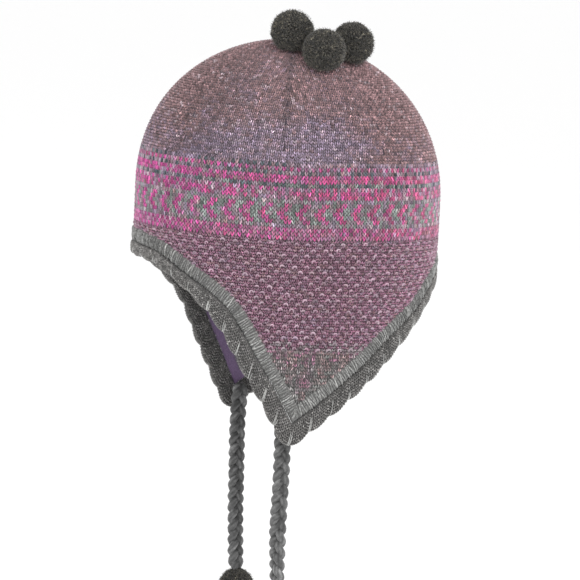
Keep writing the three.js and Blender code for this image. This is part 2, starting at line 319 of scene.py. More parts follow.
def knit_point(turn, depth):
    """Places on the outside of the knit, at a turn from +X and a depth below the crown's top."""
    share = width_share(depth)
    return np.stack([
        HALF_WIDTH * share * np.cos(turn),
        HALF_LENGTH * share * np.sin(turn) + LEAN_BACK * smoothstep(depth, 0.0, LEAN_END),
        KNIT_WALL - depth + 0.0 * turn,
    ], axis=-1)


def unit(vectors):
    return vectors / np.maximum(np.linalg.norm(vectors, axis=-1, keepdims=True), 1e-9)


def knit_normal(turn, depth):
    step = 1e-3
    depth = np.maximum(depth, 0.02)
    round_way = knit_point(turn + step, depth) - knit_point(turn - step, depth)
    down_way = knit_point(turn, depth + step) - knit_point(turn, depth - step)
    return unit(np.cross(down_way, round_way))


def off_knit(turn, depth, out):
    """Places that far out from the knit's outside."""
    return knit_point(turn, depth) + knit_normal(turn, depth) * np.asarray(out)[..., None]


def length_along(across, down):
    """The length of a line up to each of its points."""
    return np.concatenate([[0.0], np.cumsum(np.hypot(np.diff(across), np.diff(down)))])


# Turns from -180 to 360 degrees with the length round the band up to each of them, and the
# length once round
TURNS = np.linspace(-math.pi, 2.0 * math.pi, 2161)
RUNS = np.concatenate([[0.0], np.cumsum(np.hypot(
    HALF_WIDTH * np.diff(np.cos(TURNS)), HALF_LENGTH * np.diff(np.sin(TURNS))
))])
ROUND = float(np.interp(math.pi, TURNS, RUNS))


def run_at(turn):
    return np.interp(turn, TURNS, RUNS)


def turn_at(run):
    return np.interp(run, RUNS, TURNS)


def run_wrapped(run):
    """Runs are looked up from -180 to 360 degrees, so each is brought into that range."""
    return np.where(run > RUNS[-1], run - ROUND, run)


def even_turns(count):
    """Turns of a number of stitches set evenly round the hat."""
    return turn_at((np.arange(count) + 0.5) * ROUND / count + run_at(-0.5 * math.pi))


def back_rise(turns):
    """How much higher the band stands at some turns than it does in front."""
    return BACK_RISE * smoothstep(np.sin(turns), -0.05, 0.25)


def smooth_line(points, count):
    """A Catmull-Rom curve through points, cut into a number of even steps."""
    points = np.asarray(points, dtype=float)
    padded = np.vstack([points[:1], points, points[-1:]])
    where = np.linspace(0.0, len(points) - 1.0, 12 * len(points) + 1)
    cell = np.minimum(where.astype(int), len(points) - 2)
    t = (where - cell)[:, None]
    p0, p1, p2, p3 = (padded[cell + k] for k in range(4))
    line = 0.5 * (2 * p1 + (p2 - p0) * t + (2 * p0 - 5 * p1 + 4 * p2 - p3) * t ** 2
                  + (3 * p1 - p0 - 3 * p2 + p3) * t ** 3)
    return spread_evenly(line, count)


def spread_evenly(line, count):
    """A line cut into a number of even steps."""
    lengths = np.concatenate([[0.0], np.cumsum(np.linalg.norm(np.diff(line, axis=0), axis=1))])
    wanted = np.linspace(0.0, lengths[-1], count + 1)
    return np.stack([np.interp(wanted, lengths, line[:, k]) for k in range(line.shape[1])], axis=1)


def edge_run(rows, middle_turn, middle_depth):
    """One run of the edge laid out flat, from the left flap's tip to a middle line."""
    turns = FLAP_TIP_TURN + rows[:, 0] * (middle_turn - FLAP_TIP_TURN)
    depths = middle_depth + rows[:, 1] * (FLAP_DEPTH - middle_depth)
    return smooth_line(np.column_stack([run_at(turns), depths]), RUN_STEPS)


OUTER_RUNS = [
    edge_run(FRONT_EDGE, -0.5 * math.pi, FOREHEAD_DEPTH),
    edge_run(BACK_EDGE, 0.5 * math.pi, NAPE_DEPTH),
]


def inward_from(along):
    """The way into the cloth from the edge, laid out flat."""
    inward = np.column_stack([-along[:, 1], along[:, 0]])
    inward[inward[:, 1] > 0] *= -1.0
    return inward


def moved_in(run, distance):
    """A run moved into the cloth; the welt is wider on the flap than at forehead and nape."""
    share = np.linspace(0.0, 1.0, len(run))
    extra = (FLAP_WELT_WIDTH - WELT_WIDTH) * (1.0 - smoothstep(share, WELT_WIDEST, WELT_WIDENS))
    extra = (extra * min(1.0, distance / WELT_WIDTH))[:, None]
    ahead = np.vstack([run[1:], run[-1:]])
    behind = np.vstack([run[:1], run[:-1]])
    return run + inward_from(unit(ahead - behind)) * (distance + extra)


def first_crossing(first, second):
    """Where one line first crosses another: the next point on each, and the crossing."""
    a, da = first[:-1, None], np.diff(first, axis=0)[:, None]
    b, db = second[None, :-1], np.diff(second, axis=0)[None]
    gap = b - a
    cross = da[..., 0] * db[..., 1] - da[..., 1] * db[..., 0]
    cross = np.where(np.abs(cross) < 1e-9, 1e-9, cross)
    s = (gap[..., 0] * db[..., 1] - gap[..., 1] * db[..., 0]) / cross
    t = (gap[..., 0] * da[..., 1] - gap[..., 1] * da[..., 0]) / cross
    i, j = np.argwhere((s >= 0) & (s <= 1) & (t >= 0) & (t <= 1))[0]
    return i + 1, j + 1, first[i] + s[i, j] * (first[i + 1] - first[i])


def inset_runs(distance):
    """The edge's front and back runs moved into the cloth, each from where they cross."""
    if distance == 0:
        return OUTER_RUNS
    front, back = (moved_in(run, distance) for run in OUTER_RUNS)
    i, j, meet = first_crossing(front, back)
    front, back = np.vstack([meet, front[i:]]), np.vstack([meet, back[j:]])
    front[-1, 0], back[-1, 0] = OUTER_RUNS[0][-1, 0], OUTER_RUNS[1][-1, 0]
    return [front, back]


def flat_ring(distance, per_scallop):
    """The left half of the edge laid out flat, from forehead to nape, moved in by a distance."""
    count = SCALLOPS_PER_RUN * per_scallop
    front, back = (spread_evenly(run, count) for run in inset_runs(distance))
    return np.vstack([front[::-1], back[1:]])


def swing(depth):
    """How much further forward the right flap hangs at a depth."""
    return RIGHT_FLAP_SWING * smoothstep(depth, SWING_START, FLAP_DEPTH)


def both_sides(flat):
    """Turns and depths of the whole edge, from its left half laid out flat. The ring starts at
    the middle of the forehead and goes by the left flap, the nape and the right flap."""
    turns, depths = turn_at(flat[:, 0]), flat[:, 1]
    right = depths[1:-1][::-1]
    return (np.concatenate([turns, math.pi - turns[1:-1][::-1] + swing(right)]),
            np.concatenate([depths, right]))


def edge_ring(distance, per_scallop):
    return both_sides(flat_ring(distance, per_scallop))


def square_rings(low, high):
    """The two sides of a bar along the edge, straight across from each other."""
    flat = flat_ring(0.5 * (low + high), EDGE_SAMPLES)
    inward = inward_from(unit(np.gradient(flat, axis=0)))
    padded = np.pad(inward, ((SMOOTHING, SMOOTHING), (0, 0)), mode="edge")
    inward = unit(sum(padded[k:k + len(inward)] for k in range(2 * SMOOTHING + 1)))
    half = 0.5 * (high - low)
    return both_sides(flat - inward * half), both_sides(flat + inward * half)


class EdgeLimit:
    """Which places lie on the cloth, inside an inset of the edge."""

    def __init__(self, distance):
        flat = flat_ring(distance, EDGE_SAMPLES)
        self.turns, self.depths = turn_at(flat[:, 0]), flat[:, 1]

    def keeps(self, turn, depth):
        still = np.where(np.cos(turn) < 0.0, turn - swing(depth), turn)
        folded = np.arctan2(np.sin(still), np.abs(np.cos(still)))
        return depth < np.interp(folded, self.turns, self.depths)


# Meshes


def new_object(name, mesh):
    obj = bpy.data.objects.new(name, mesh)
    bpy.context.scene.collection.objects.link(obj)
    return obj


def mesh_object(name, points, faces, smooth=True):
    """An object at the origin from points in millimetres."""
    mesh = bpy.data.meshes.new(name)
    mesh.from_pydata((np.asarray(points) * MM).tolist(), [], faces)
    mesh.polygons.foreach_set("use_smooth", np.full(len(mesh.polygons), smooth))
    mesh.update()
    return new_object(name, mesh)


def paint(obj, colours):
    """The yarn's colour for each point of a mesh, or one colour for them all."""
    layer = obj.data.attributes.new("yarn", "FLOAT_COLOR", "POINT")
    rgba = np.ones((len(obj.data.vertices), 4))
    rgba[:, :3] = colours
    layer.data.foreach_set("color", rgba.ravel())


def ring_faces(rows, columns, closed_rows=False):
    """Quads between rows of points, each row a closed ring."""
    faces = []
    for row in range(rows if closed_rows else rows - 1):
        a, b = row * columns, ((row + 1) % rows) * columns
        for k in range(columns):
            m = (k + 1) % columns
            faces.append((a + k, a + m, b + m, b + k))
    return faces


def around(sides):
    """Even angles round a tube."""
    return np.linspace(0.0, 2.0 * math.pi, sides, endpoint=False)


def tube(line, radii, sides, normal=(0.0, 0.0, 1.0)):
    """Points and faces of a closed tube along a line, of one radius or one for each point."""
    line = np.asarray(line, dtype=float)
    along = unit(np.gradient(line, axis=0))
    across = unit(np.cross(along, np.broadcast_to(normal, along.shape)))
    out = np.cross(across, along)
    angles = around(sides)
    radii = np.broadcast_to(radii, (len(line), sides))
    points = []
    for k, centre in enumerate(line):
        points.append(centre + np.outer(np.cos(angles) * radii[k], across[k])
                      + np.outer(np.sin(angles) * radii[k], out[k]))
    faces = [face[::-1] for face in ring_faces(len(line), sides)]
    points = np.vstack(points + [line[:1], line[-1:]])
    first, last, end = len(points) - 2, len(points) - 1, (len(line) - 1) * sides
    for k in range(sides):
        m = (k + 1) % sides
        faces.append((k, m, first))
        faces.append((end + m, end + k, last))
    return points, faces


def joined(parts):
    """Several (points, faces) as one."""
    points, faces, start = [], [], 0
    for part_points, part_faces in parts:
        points.append(part_points)
        faces.extend(tuple(v + start for v in face) for face in part_faces)
        start += len(part_points)
    return np.vstack(points), faces


def spindle(line, widths, thicks, sides=4, normal=(0.0, 0.0, 1.0)):
    """A yarn that comes to a point at both ends; widths and thicks are for the points between."""
    line = np.asarray(line, dtype=float)
    along = unit(np.gradient(line, axis=0))[1:-1]
    across = unit(np.cross(along, np.broadcast_to(normal, along.shape)))
    out = np.cross(across, along)
    angles = around(sides)
    points = [line[:1]]
    for k in range(len(along)):
        points.append(line[k + 1] + np.outer(np.cos(angles) * widths[k], across[k])
                      + np.outer(np.sin(angles) * thicks[k], out[k]))
    points.append(line[-1:])
    faces = [tuple(v + 1 for v in face[::-1]) for face in ring_faces(len(along), sides)]
    last, end = 1 + len(along) * sides, 1 + (len(along) - 1) * sides
    for k in range(sides):
        m = (k + 1) % sides
        faces.append((0, 1 + k, 1 + m))
        faces.append((last, end + m, end + k))
    return np.vstack(points), faces


def unit_shape(name, points, faces):
    """A shape that the scatter tree repeats; its own size is about 1, and its bake
    map is laid out flat."""
    mesh = bpy.data.meshes.new(name)
    mesh.from_pydata(points.tolist(), [], faces)
    mesh.polygons.foreach_set("use_smooth", np.ones(len(faces), dtype=bool))
    low, high = points.min(axis=0), points.max(axis=0)
    flat = (points - low) / np.maximum(high - low, 1e-6)
    corners = np.empty(len(mesh.loops), dtype=np.int32)
    mesh.loops.foreach_get("vertex_index", corners)
    layer = mesh.uv_layers.new(name="OFBake")
    layer.data.foreach_set("uv", flat[corners][:, :2].ravel())
    return new_object(name, mesh)


# Nodes


def add_sockets(tree, in_out, *sockets):
    """Named sockets of a node group, each a name, a kind and, where it has one, a default."""
    for name, kind, *default in sockets:
        socket = tree.interface.new_socket(name=name, in_out=in_out, socket_type="NodeSocket" + kind)
        if default:
            socket.default_value = default[0]


def feed(node, inputs):
    """Gives inputs of a node a value or the socket that feeds them."""
    for key, value in inputs.items():
        if isinstance(value, bpy.types.NodeSocket):
            node.id_data.links.new(value, node.inputs[key])
        else:
            node.inputs[key].default_value = value


def add_node(tree, kind, inputs, **settings):
    """A new node with its settings, and with its inputs fed."""
    node = tree.nodes.new(kind)
    for key, value in settings.items():
        setattr(node, key, value)
    feed(node, inputs)
    return node


# Repeated pieces


def scatter_tree():
    """Geometry Nodes that set a unit shape on each point of a guide, turned by the guide's
    own out and up directions and sized by its fit."""
    tree = bpy.data.node_groups.new("Yarn on a guide", "GeometryNodeTree")
    add_sockets(
        tree, "INPUT", ("Guide", "Geometry"), ("Unit", "Object"), ("Size", "Float", 1.0),
        ("Unevenness", "Float", 0.1), ("Seed", "Int", 1), ("Material", "Material"),
    )
    add_sockets(tree, "OUTPUT", ("Yarn", "Geometry"))
    given = tree.nodes.new("NodeGroupInput").outputs

    def attribute(name):
        node = add_node(
            tree, "GeometryNodeInputNamedAttribute", {"Name": name}, data_type="FLOAT_VECTOR"
        )
        return node.outputs["Attribute"]

    def scaled(vector, scale):
        node = add_node(tree, "ShaderNodeVectorMath", {0: vector, "Scale": scale}, operation="SCALE")
        return node.outputs["Vector"]

    stand = add_node(
        tree, "FunctionNodeAxesToRotation",
        {"Primary Axis": attribute("out"), "Secondary Axis": attribute("up")},
        primary_axis="Z", secondary_axis="Y",
    )
    chance = add_node(
        tree, "FunctionNodeRandomValue",
        {"Min": (-1.0, -1.0, -1.0), "Max": (1.0, 1.0, 1.0), "Seed": given["Seed"]},
        data_type="FLOAT_VECTOR",
    )
    lean = add_node(tree, "FunctionNodeEulerToRotation", {
        "Euler": scaled(chance.outputs[0], given["Unevenness"]),
    })
    leaning = add_node(
        tree, "FunctionNodeRotateRotation",
        {"Rotation": stand.outputs["Rotation"], "Rotate By": lean.outputs["Rotation"]},
        rotation_space="LOCAL",
    )
    shape = add_node(tree, "GeometryNodeObjectInfo", {"Object": given["Unit"], "As Instance": True})
    placed = add_node(tree, "GeometryNodeInstanceOnPoints", {
        "Points": given["Guide"], "Instance": shape.outputs["Geometry"],
        "Rotation": leaning.outputs["Rotation"], "Scale": scaled(attribute("fit"), given["Size"]),
    })
    real = add_node(tree, "GeometryNodeRealizeInstances", {"Geometry": placed.outputs["Instances"]})
    dressed = add_node(tree, "GeometryNodeSetMaterial", {
        "Geometry": real.outputs["Geometry"], "Material": given["Material"],
    })
    add_node(tree, "NodeGroupOutput", {"Yarn": dressed.outputs["Geometry"]})
    return tree


def set_inputs(modifier, values):
    """Inputs of a Geometry Nodes modifier, given by the names of its sockets."""
    sockets = {
        item.name: item.identifier for item in modifier.node_group.interface.items_tree
        if item.item_type == "SOCKET" and item.in_out == "INPUT"
    }
    for name, value in values.items():
        modifier[sockets[name]] = value


def scatter(name, shape, guide, material, unevenness, seed):
    """One plain mesh with a shape at each place of a guide. The guide holds places and fit
    in millimetres, the out and up directions, and yarn, a colour each."""
    count = len(guide["places"])
    mesh = bpy.data.meshes.new(name + "_guide")
    mesh.vertices.add(count)
    mesh.vertices.foreach_set("co", (guide["places"] * MM).astype(np.float32).ravel())
    for key in ("out", "up", "fit"):
        layer = mesh.attributes.new(key, "FLOAT_VECTOR", "POINT")
        layer.data.foreach_set("vector", guide[key].astype(np.float32).ravel())
    cell = mesh.attributes.new("cell", "INT", "POINT")
    cell.data.foreach_set("value", np.arange(count, dtype=np.int32))
    source = new_object(name + "_guide", mesh)
    paint(source, guide["yarn"])

    modifier = source.modifiers.new("Yarn", "NODES")
    modifier.node_group = bpy.data.node_groups.get("Yarn on a guide") or scatter_tree()
    set_inputs(modifier, {
        "Unit": shape, "Size": MM, "Unevenness": unevenness, "Seed": seed, "Material": material,
    })
    depsgraph = bpy.context.evaluated_depsgraph_get()
    made = bpy.data.meshes.new_from_object(
        source.evaluated_get(depsgraph), preserve_all_data_layers=True, depsgraph=depsgraph
    )
    source.modifiers.remove(modifier)
    bpy.data.objects.remove(source)
    bpy.data.meshes.remove(mesh)
    made.name = name
    made.materials.clear()
    made.materials.append(material)
    made.polygons.foreach_set("material_index", np.zeros(len(made.polygons), dtype=np.int32))
    pack_bake_map(made, count)
    for key in ("out", "up", "fit", "cell"):
        if key in made.attributes:
            made.attributes.remove(made.attributes[key])
    return new_object(name, made)


def pack_bake_map(mesh, count):
    """Each repeated shape gets its own square of the bake map."""
    across = math.ceil(math.sqrt(count))
    cells = np.empty(len(mesh.vertices), dtype=np.int32)
    mesh.attributes["cell"].data.foreach_get("value", cells)
    corners = np.empty(len(mesh.loops), dtype=np.int32)
    mesh.loops.foreach_get("vertex_index", corners)
    layer = mesh.uv_layers["OFBake"]
    flat = np.empty(2 * len(corners), dtype=np.float32)
    layer.data.foreach_get("uv", flat)
    cell = cells[corners]
    squares = np.column_stack([cell % across, cell // across])
    inner = BAKE_MARGIN + (1.0 - 2.0 * BAKE_MARGIN) * flat.reshape(-1, 2)
    layer.data.foreach_set("uv", ((squares + inner) / across).ravel())


# Materials


def wool_group():
    """Fibres of wool: a fine marl over the yarn's colour, and the height of its fuzz."""
    tree = bpy.data.node_groups.new("Wool fibres", "ShaderNodeTree")
    add_sockets(
        tree, "INPUT", ("Colour", "Color"), ("Fibres per Metre", "Float", 1400.0), ("Marl", "Float", 0.3)
    )
    add_sockets(tree, "OUTPUT", ("Colour", "Color"), ("Roughness", "Float"), ("Height", "Float"))
    given = tree.nodes.new("NodeGroupInput").outputs
    where = tree.nodes.new("ShaderNodeTexCoord").outputs["Object"]
    marl = add_node(tree, "ShaderNodeTexNoise", {
        "Vector": where, "Scale": given["Fibres per Metre"], "Detail": 3.0, "Roughness": 0.65,
    })
    finer = add_node(
        tree, "ShaderNodeMath", {0: given["Fibres per Metre"], 1: 2.7}, operation="MULTIPLY"
    )
    fuzz = add_node(tree, "ShaderNodeTexNoise", {
        "Vector": where, "Scale": finer.outputs["Value"], "Detail": 2.0,
    })
    spread = add_node(tree, "ShaderNodeMapRange", {
        "Value": marl.outputs["Fac"], "From Min": 0.3, "From Max": 0.7, "To Min": -1.0, "To Max": 1.0,
    })
    change = add_node(
        tree, "ShaderNodeMath", {0: spread.outputs["Result"], 1: given["Marl"], 2: 1.0},
        operation="MULTIPLY_ADD",
    )
    tinted = add_node(
        tree, "ShaderNodeVectorMath", {0: given["Colour"], "Scale": change.outputs["Value"]},
        operation="SCALE",
    )
    rough = add_node(tree, "ShaderNodeMapRange", {
        "Value": fuzz.outputs["Fac"], "To Min": 0.8, "To Max": 1.0,
    })
    add_node(tree, "NodeGroupOutput", {
        "Colour": tinted.outputs["Vector"], "Roughness": rough.outputs["Result"],
        "Height": fuzz.outputs["Fac"],
    })
    return tree


def surface_material(name):
    """A new material and its surface shader."""
    material = bpy.data.materials.new(name)
    material.use_nodes = True
    return material, material.node_tree.nodes["Principled BSDF"]


def wool_material(name):
    """Wool whose colour is painted on the piece as its yarn attribute."""
    made = bpy.data.materials.get(name)
    if made:
        return made
    fibres, marl, bump, sheen = WOOLS[name]
    material, surface = surface_material(name)
    tree = material.node_tree
    yarn = add_node(tree, "ShaderNodeAttribute", {}, attribute_name="yarn")
    wool = add_node(
        tree, "ShaderNodeGroup",
        {"Colour": yarn.outputs["Color"], "Fibres per Metre": fibres, "Marl": marl},
        node_tree=bpy.data.node_groups.get("Wool fibres") or wool_group(),
    )
    relief = add_node(tree, "ShaderNodeBump", {
        "Strength": 0.6, "Distance": bump, "Height": wool.outputs["Height"],
    })
    feed(surface, {
        "Sheen Weight": sheen, "Sheen Roughness": 0.6, "Specular IOR Level": 0.2,
        "Base Color": wool.outputs["Colour"], "Roughness": wool.outputs["Roughness"],
        "Normal": relief.outputs["Normal"],
    })
    return material


def finish_piece(obj, slot, *replaced):
    """Carries a piece on the hat and hides the nodes it stands for; the slot of its finish is not used.
    """
    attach(obj, "root")
    if replaced:
        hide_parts(*replaced)


def dress(obj, material):
    """Gives a piece one material."""
    obj.data.materials.clear()
    obj.data.materials.append(material)


# Yarn colours


def patches(places, size, seed):
    """Slow, smooth variation between -1 and 1 over the cloth; size is in millimetres."""
    offset = Vector((seed * 7.31, seed * 3.17, seed * 5.73))
    values = [noise.noise(Vector(place) / size + offset) for place in places]
    return np.clip(1.6 * np.array(values), -1.0, 1.0)


def mix(first, second, share):
    """Two colours mixed by a share; each may be a single one or one for each stitch."""
    share = np.asarray(share)[..., None]
    return np.asarray(first) * (1.0 - share) + np.asarray(second) * share


def marled(places, colours, seed, warm):
    """The main yarn: mauve with browner, lilac and pale stretches, stitch by stitch."""
    rng = np.random.default_rng(seed)
    count = len(places)
    warm = np.clip(warm + 0.3 * patches(places, 20.0, seed) + rng.normal(0.0, 0.25, count), 0, 1)
    base = mix(mix(colours.lilac, colours.rose_brown, warm), colours.mauve, 0.35)
    glint = (rng.random(count) < 0.09) * (0.2 + 0.5 * rng.random(count))
    tone = np.exp(rng.normal(0.05, 0.18, count) + 0.08 * patches(places, 7.0, seed + 1))
    return mix(base, colours.pale, glint) * tone[:, None]


def flecked(colour, count, rng, spread=0.16):
    """One yarn with a little tone variation, stitch by stitch."""
    return np.asarray(colour) * np.exp(rng.normal(0.0, spread, count))[:, None]


def pink_yarn(turns, colours, rng):
    """The pattern yarn, magenta in front and more salmon towards the nape."""
    warm = np.clip(0.35 + 0.5 * np.sin(turns) + rng.normal(0.0, 0.3, len(turns)), 0.0, 1.0)
    tone = 1.02 * np.exp(rng.normal(0.04, 0.12, len(turns)))
    return mix(colours.pink, colours.salmon, warm) * tone[:, None]


def lining_colour(colours):
    """The purple grey of the hat's inside."""
    return np.asarray(colours.lilac) * np.array([0.95, 0.78, 1.0])


def band_colours(kind, row, columns, turns, places, colours, seed):
    """Colours of one row of the pattern band."""
    rng = np.random.default_rng(seed + row)
    count = len(columns)
    mauve = marled(places, colours, seed + row, 0.4)
    dull = 0.5 * (rng.random(count) < 0.3) + 0.3 * smoothstep(np.sin(turns), 0.35, 0.8)
    pink = mix(pink_yarn(turns, colours, rng), mauve, dull)
    green = mix(flecked(colours.grey_green, count, rng), mauve, 0.8 * (rng.random(count) < 0.5))
    teal = mix(flecked(colours.teal, count, rng), mauve, 0.7 * (rng.random(count) < 0.45))
    odd = columns % 2 == 1
    chance = rng.random(count)
    away = abs(row - CHEVRON_APEX_ROW)
    chevron = (columns - away) % CHEVRON_REPEAT < 2
    picks = {
        "teal dashes": (odd & (chance < 0.6), teal, mauve),
        "pink dots": (odd, pink, mauve),
        "dark dots": (odd, mauve, teal),
        "pink line": (chance < 0.84, pink, mauve),
        "dark grey": (chance < 0.6, teal, green),
        "pink and grey": (odd, pink, mauve),
        "soft pink line": (chance < 0.78, pink, mauve),
        "mauve and pink": (chance < 0.6, pink, mauve),
        "green dashes": (odd, green, mauve),
        "chevron": (chevron, pink, green),
        "chevron apex": (chevron, pink, green),
        "bird's eye": ((columns + row) % 2 == 0, pink, mix(mauve, pink, 0.3)),
    }
    first_yarn, first, second = picks[kind]
    return np.where(first_yarn[:, None], first, second)


def ground_colours(turns, depths, inner, colours):
    """The cloth behind the stitches, darkened all over with painted shade as if shadowed by the yarn, or
    the hat's inside, which painted shade darkens too.
    """
    tip = smoothstep(depths, TIP_TOP - 1.0, TIP_TOP + 1.0)
    if inner:
        # Painted shade: the inside at 0.42 of its colour
        return 0.42 * mix(lining_colour(colours), colours.light_grey, 0.25 + 0.4 * tip)
    band = ((depths > BAND_TOP - 1.3) & (depths < MOSS_TOP)).astype(float)
    mauve = marled(knit_point(turns, depths), colours, 5, 0.5)
    flap = (1.0 - tip) * (depths >= MOSS_TOP)
    cloth = mix(mix(mauve, colours.grey_green, 0.6 * band), colours.plum, flap)
    # Painted shade: the ground between the stitches at 0.22 of its colour
    return 0.22 * mix(cloth, colours.light_grey, tip)


# Stitches


def leg_unit(name, side, fine):
    """One leg of a knitted stitch, leaning out from the stitch's foot to one side."""
    if fine:
        line = [(0.03 * side, -0.68, -0.25), (0.15 * side, -0.22, 0.36), (0.32 * side, 0.25, 0.40),
                (0.40 * side, 0.66, -0.1)]
        return unit_shape(name, *spindle(line, [0.165, 0.18], [0.42, 0.46]))
    line = [(0.04 * side, -0.64, -0.2), (0.25 * side, 0.03, 0.42), (0.42 * side, 0.62, -0.1)]
    return unit_shape(name, *spindle(line, [0.185], [0.5]))


def knit_legs(name, guide, material, slot, unevenness, seed, spread, fine=False):
    """Knitted stitches as their two legs; each leg has its own tone."""
    rng = np.random.default_rng(seed)
    for label, side in (("a", -1.0), ("b", 1.0)):
        leg = leg_unit(name + "_unit", side, fine)
        tones = np.exp(rng.normal(0.0, spread, len(guide["yarn"])))
        toned = {**guide, "yarn": guide["yarn"] * tones[:, None]}
        piece = scatter(name + "_" + label, leg, toned, material, unevenness, seed)
        bpy.data.objects.remove(leg)
        finish_piece(piece, slot)


def stitch_guide(turns, depths, above, knit, width, height):
    """Stitches at turns and depths, each with its top towards the place above it."""
    return {
        "places": off_knit(turns, depths, -STITCH_SINK),
        "out": knit_normal(turns, depths),
        "up": unit(above - knit_point(turns, depths)),
        "fit": np.tile([width, height, knit.yarn_height / MM], (len(turns), 1)),
        "turns": turns, "depths": depths,
    }


def level_guide(turns, depths, knit, width, height):
    """Stitches in level rows at given turns and depths."""
    return stitch_guide(turns, depths, knit_point(turns, depths - 1.0), knit, width, height)


def picked(guide, mask):
    return {key: value[mask] for key, value in guide.items()}


def kept_inside(parts, limit):
    """Rows of stitches as one guide, without those that lie past the limit."""
    guide = {key: np.concatenate([part[key] for part in parts]) for key in parts[0]}
    return picked(guide, limit.keeps(guide["turns"], guide["depths"]))


def meridian_table():
    """Depths below the crown's top against the length of cloth down from it."""
    depths = np.concatenate([np.linspace(0.0, 8.0, 400), np.linspace(8.05, 140.0, 1400)])
    reach = 0.5 * (HALF_LENGTH + HALF_WIDTH) * width_share(depths)
    return length_along(reach, depths), depths


def wedge_stitches(stitch, row_height):
    """Turns and depths of the crown's stitches, the places above them, and how much each
    lies in the darker line in front: wedges whose wales end at leaning decrease lines."""
    lengths, depths = meridian_table()
    wedge = ROUND / CROWN_WEDGES
    wales = int(round(wedge / stitch))
    bottom = np.interp(BAND_TOP - 0.5 * BAND_PITCH, depths, lengths) - 0.4 * row_height
    columns = (np.arange(wales) + 0.5) / wales * 2.0 - 1.0
    turns, downs, above, seam = [], [], [], []
    for length in np.arange(bottom, 0.8, -row_height):
        depth, higher = np.interp([length, max(length - 1.0, 0.2)], lengths, depths)
        share, higher_share = width_share(np.array([depth, higher]))
        kept = columns[np.abs(columns) <= share + 0.4 / wales]
        opened = np.clip(kept / max(higher_share, 1e-3), -1.4, 1.4)
        for k in range(CROWN_WEDGES):
            middle = run_at(FIRST_DECREASE) + (k + 0.5) * wedge
            turns.append(turn_at(run_wrapped(middle + 0.5 * wedge * kept / share)))
            downs.append(np.full(len(kept), depth))
            higher_turns = turn_at(run_wrapped(middle + 0.5 * wedge * opened))
            above.append(knit_point(higher_turns, np.full(len(kept), higher)))
            outer_side = {0: -1.0, CROWN_WEDGES - 1: 1.0}.get(k, 0.0)
            in_line = outer_side * kept > share - 1.6 / wales
            seam.append(in_line * (1.0 - smoothstep(depth, *SEAM_FADE)))
    return np.concatenate(turns), np.concatenate(downs), np.vstack(above), np.concatenate(seam)


def crown_guide(knit, colours):
    """Stitches of the crown, browner at its top and sides, with painted shade that darkens its top, its
    sides, its forehead side and the decrease line in front.
    """
    stitch, row_height = knit.crown_stitch / MM, knit.crown_row / MM
    turns, downs, above, seam = wedge_stitches(stitch, row_height)
    rng = np.random.default_rng(61)
    downs = np.maximum(downs + rng.normal(0.0, 0.14, len(downs)) * smoothstep(downs, 2.0, 12.0), 0.02)
    guide = stitch_guide(turns, downs, above, knit, stitch, 1.32 * row_height)
    back = np.sin(turns)
    high = 1.0 - smoothstep(downs, 30.0, 62.0)
    side = smoothstep(back, 0.05, 0.6) + 0.5 * smoothstep(-back, 0.5, 0.9)
    # Painted shade: darker towards the top, at both sides and most on the forehead side, and along the
    # decrease line in front
    shade = 1.08 - 0.05 * high - 0.17 * smoothstep(np.abs(back), 0.3, 0.8)
    shade = (shade - 0.13 * smoothstep(-back, 0.3, 0.8)) * (1.0 - SEAM_SHADE * seam)
    yarn = marled(guide["places"], colours, 11, 0.15 + 0.9 * high + 0.8 * side)
    guide["yarn"] = yarn * shade[:, None]
    return guide


def band_guide(knit, colours, limit):
    """Stitches of the pattern band, row by row from its chart."""
    turns = even_turns(BAND_STITCHES)
    columns = np.arange(BAND_STITCHES)
    parts = []
    for row, kind in enumerate(BAND_ROWS):
        depths = BAND_TOP + row * BAND_PITCH - back_rise(turns)
        part = level_guide(turns, depths, knit, ROUND / BAND_STITCHES, 1.12 * BAND_PITCH)
        part["yarn"] = band_colours(kind, row, columns, turns, part["places"], colours, seed=31)
        parts.append(part)
    return kept_inside(parts, limit)


def moss_guides(knit, colours, limit, rng):
    """The moss stitch of the flaps, as plain stitches and raised dots."""
    width, height = MOSS_PLAIN, 0.9 * MOSS_PLAIN
    count = MOSS_DOT_EVERY * int(round(ROUND / width / MOSS_DOT_EVERY))
    turns = even_turns(count)
    plain, dots = [], []
    for row, depth in enumerate(np.arange(MOSS_TOP + 0.5 * height, TIP_TOP, height)):
        raised = back_rise(turns) * (1.0 - smoothstep(depth, MOSS_TOP, MOSS_TOP + 30.0))
        shaken = turns + rng.normal(0.0, 0.0025, count)
        depths = depth - raised + rng.normal(0.0, 0.22, count)
        part = level_guide(shaken, depths, knit, width, 1.12 * height)
        plum = 1.08 * flecked(colours.plum, count, rng)
        mauve = marled(part["places"], colours, 71 + row, 0.6)
        yarn = mix(plum, mauve, 0.25 + 0.55 * (rng.random(count) < 0.35))
        fading = rng.random(count) < 0.8 * smoothstep(depth, TIP_TOP - 9.0, TIP_TOP)
        grey = 0.8 * flecked(colours.light_grey, count, rng, 0.22)
        part["yarn"] = mix(yarn, grey, 0.75 * fading)
        plain.append(part)
        if row % 2 == 1:
            shift = MOSS_DOT_EVERY // 2 * (row // 2 % 2)
            dot = picked(part, (np.arange(count) + shift) % MOSS_DOT_EVERY == 0)
            number = len(dot["turns"])
            dot["fit"] = MOSS_DOT_FIT * rng.uniform(0.85, 1.12, number)[:, None]
            pale = flecked(colours.moss_dot, number, rng, 0.2)
            dot["yarn"] = mix(pale, dot["yarn"], 0.15 + 0.35 * rng.random(number))
            dots.append(dot)
    return kept_inside(plain, limit), kept_inside(dots, limit)


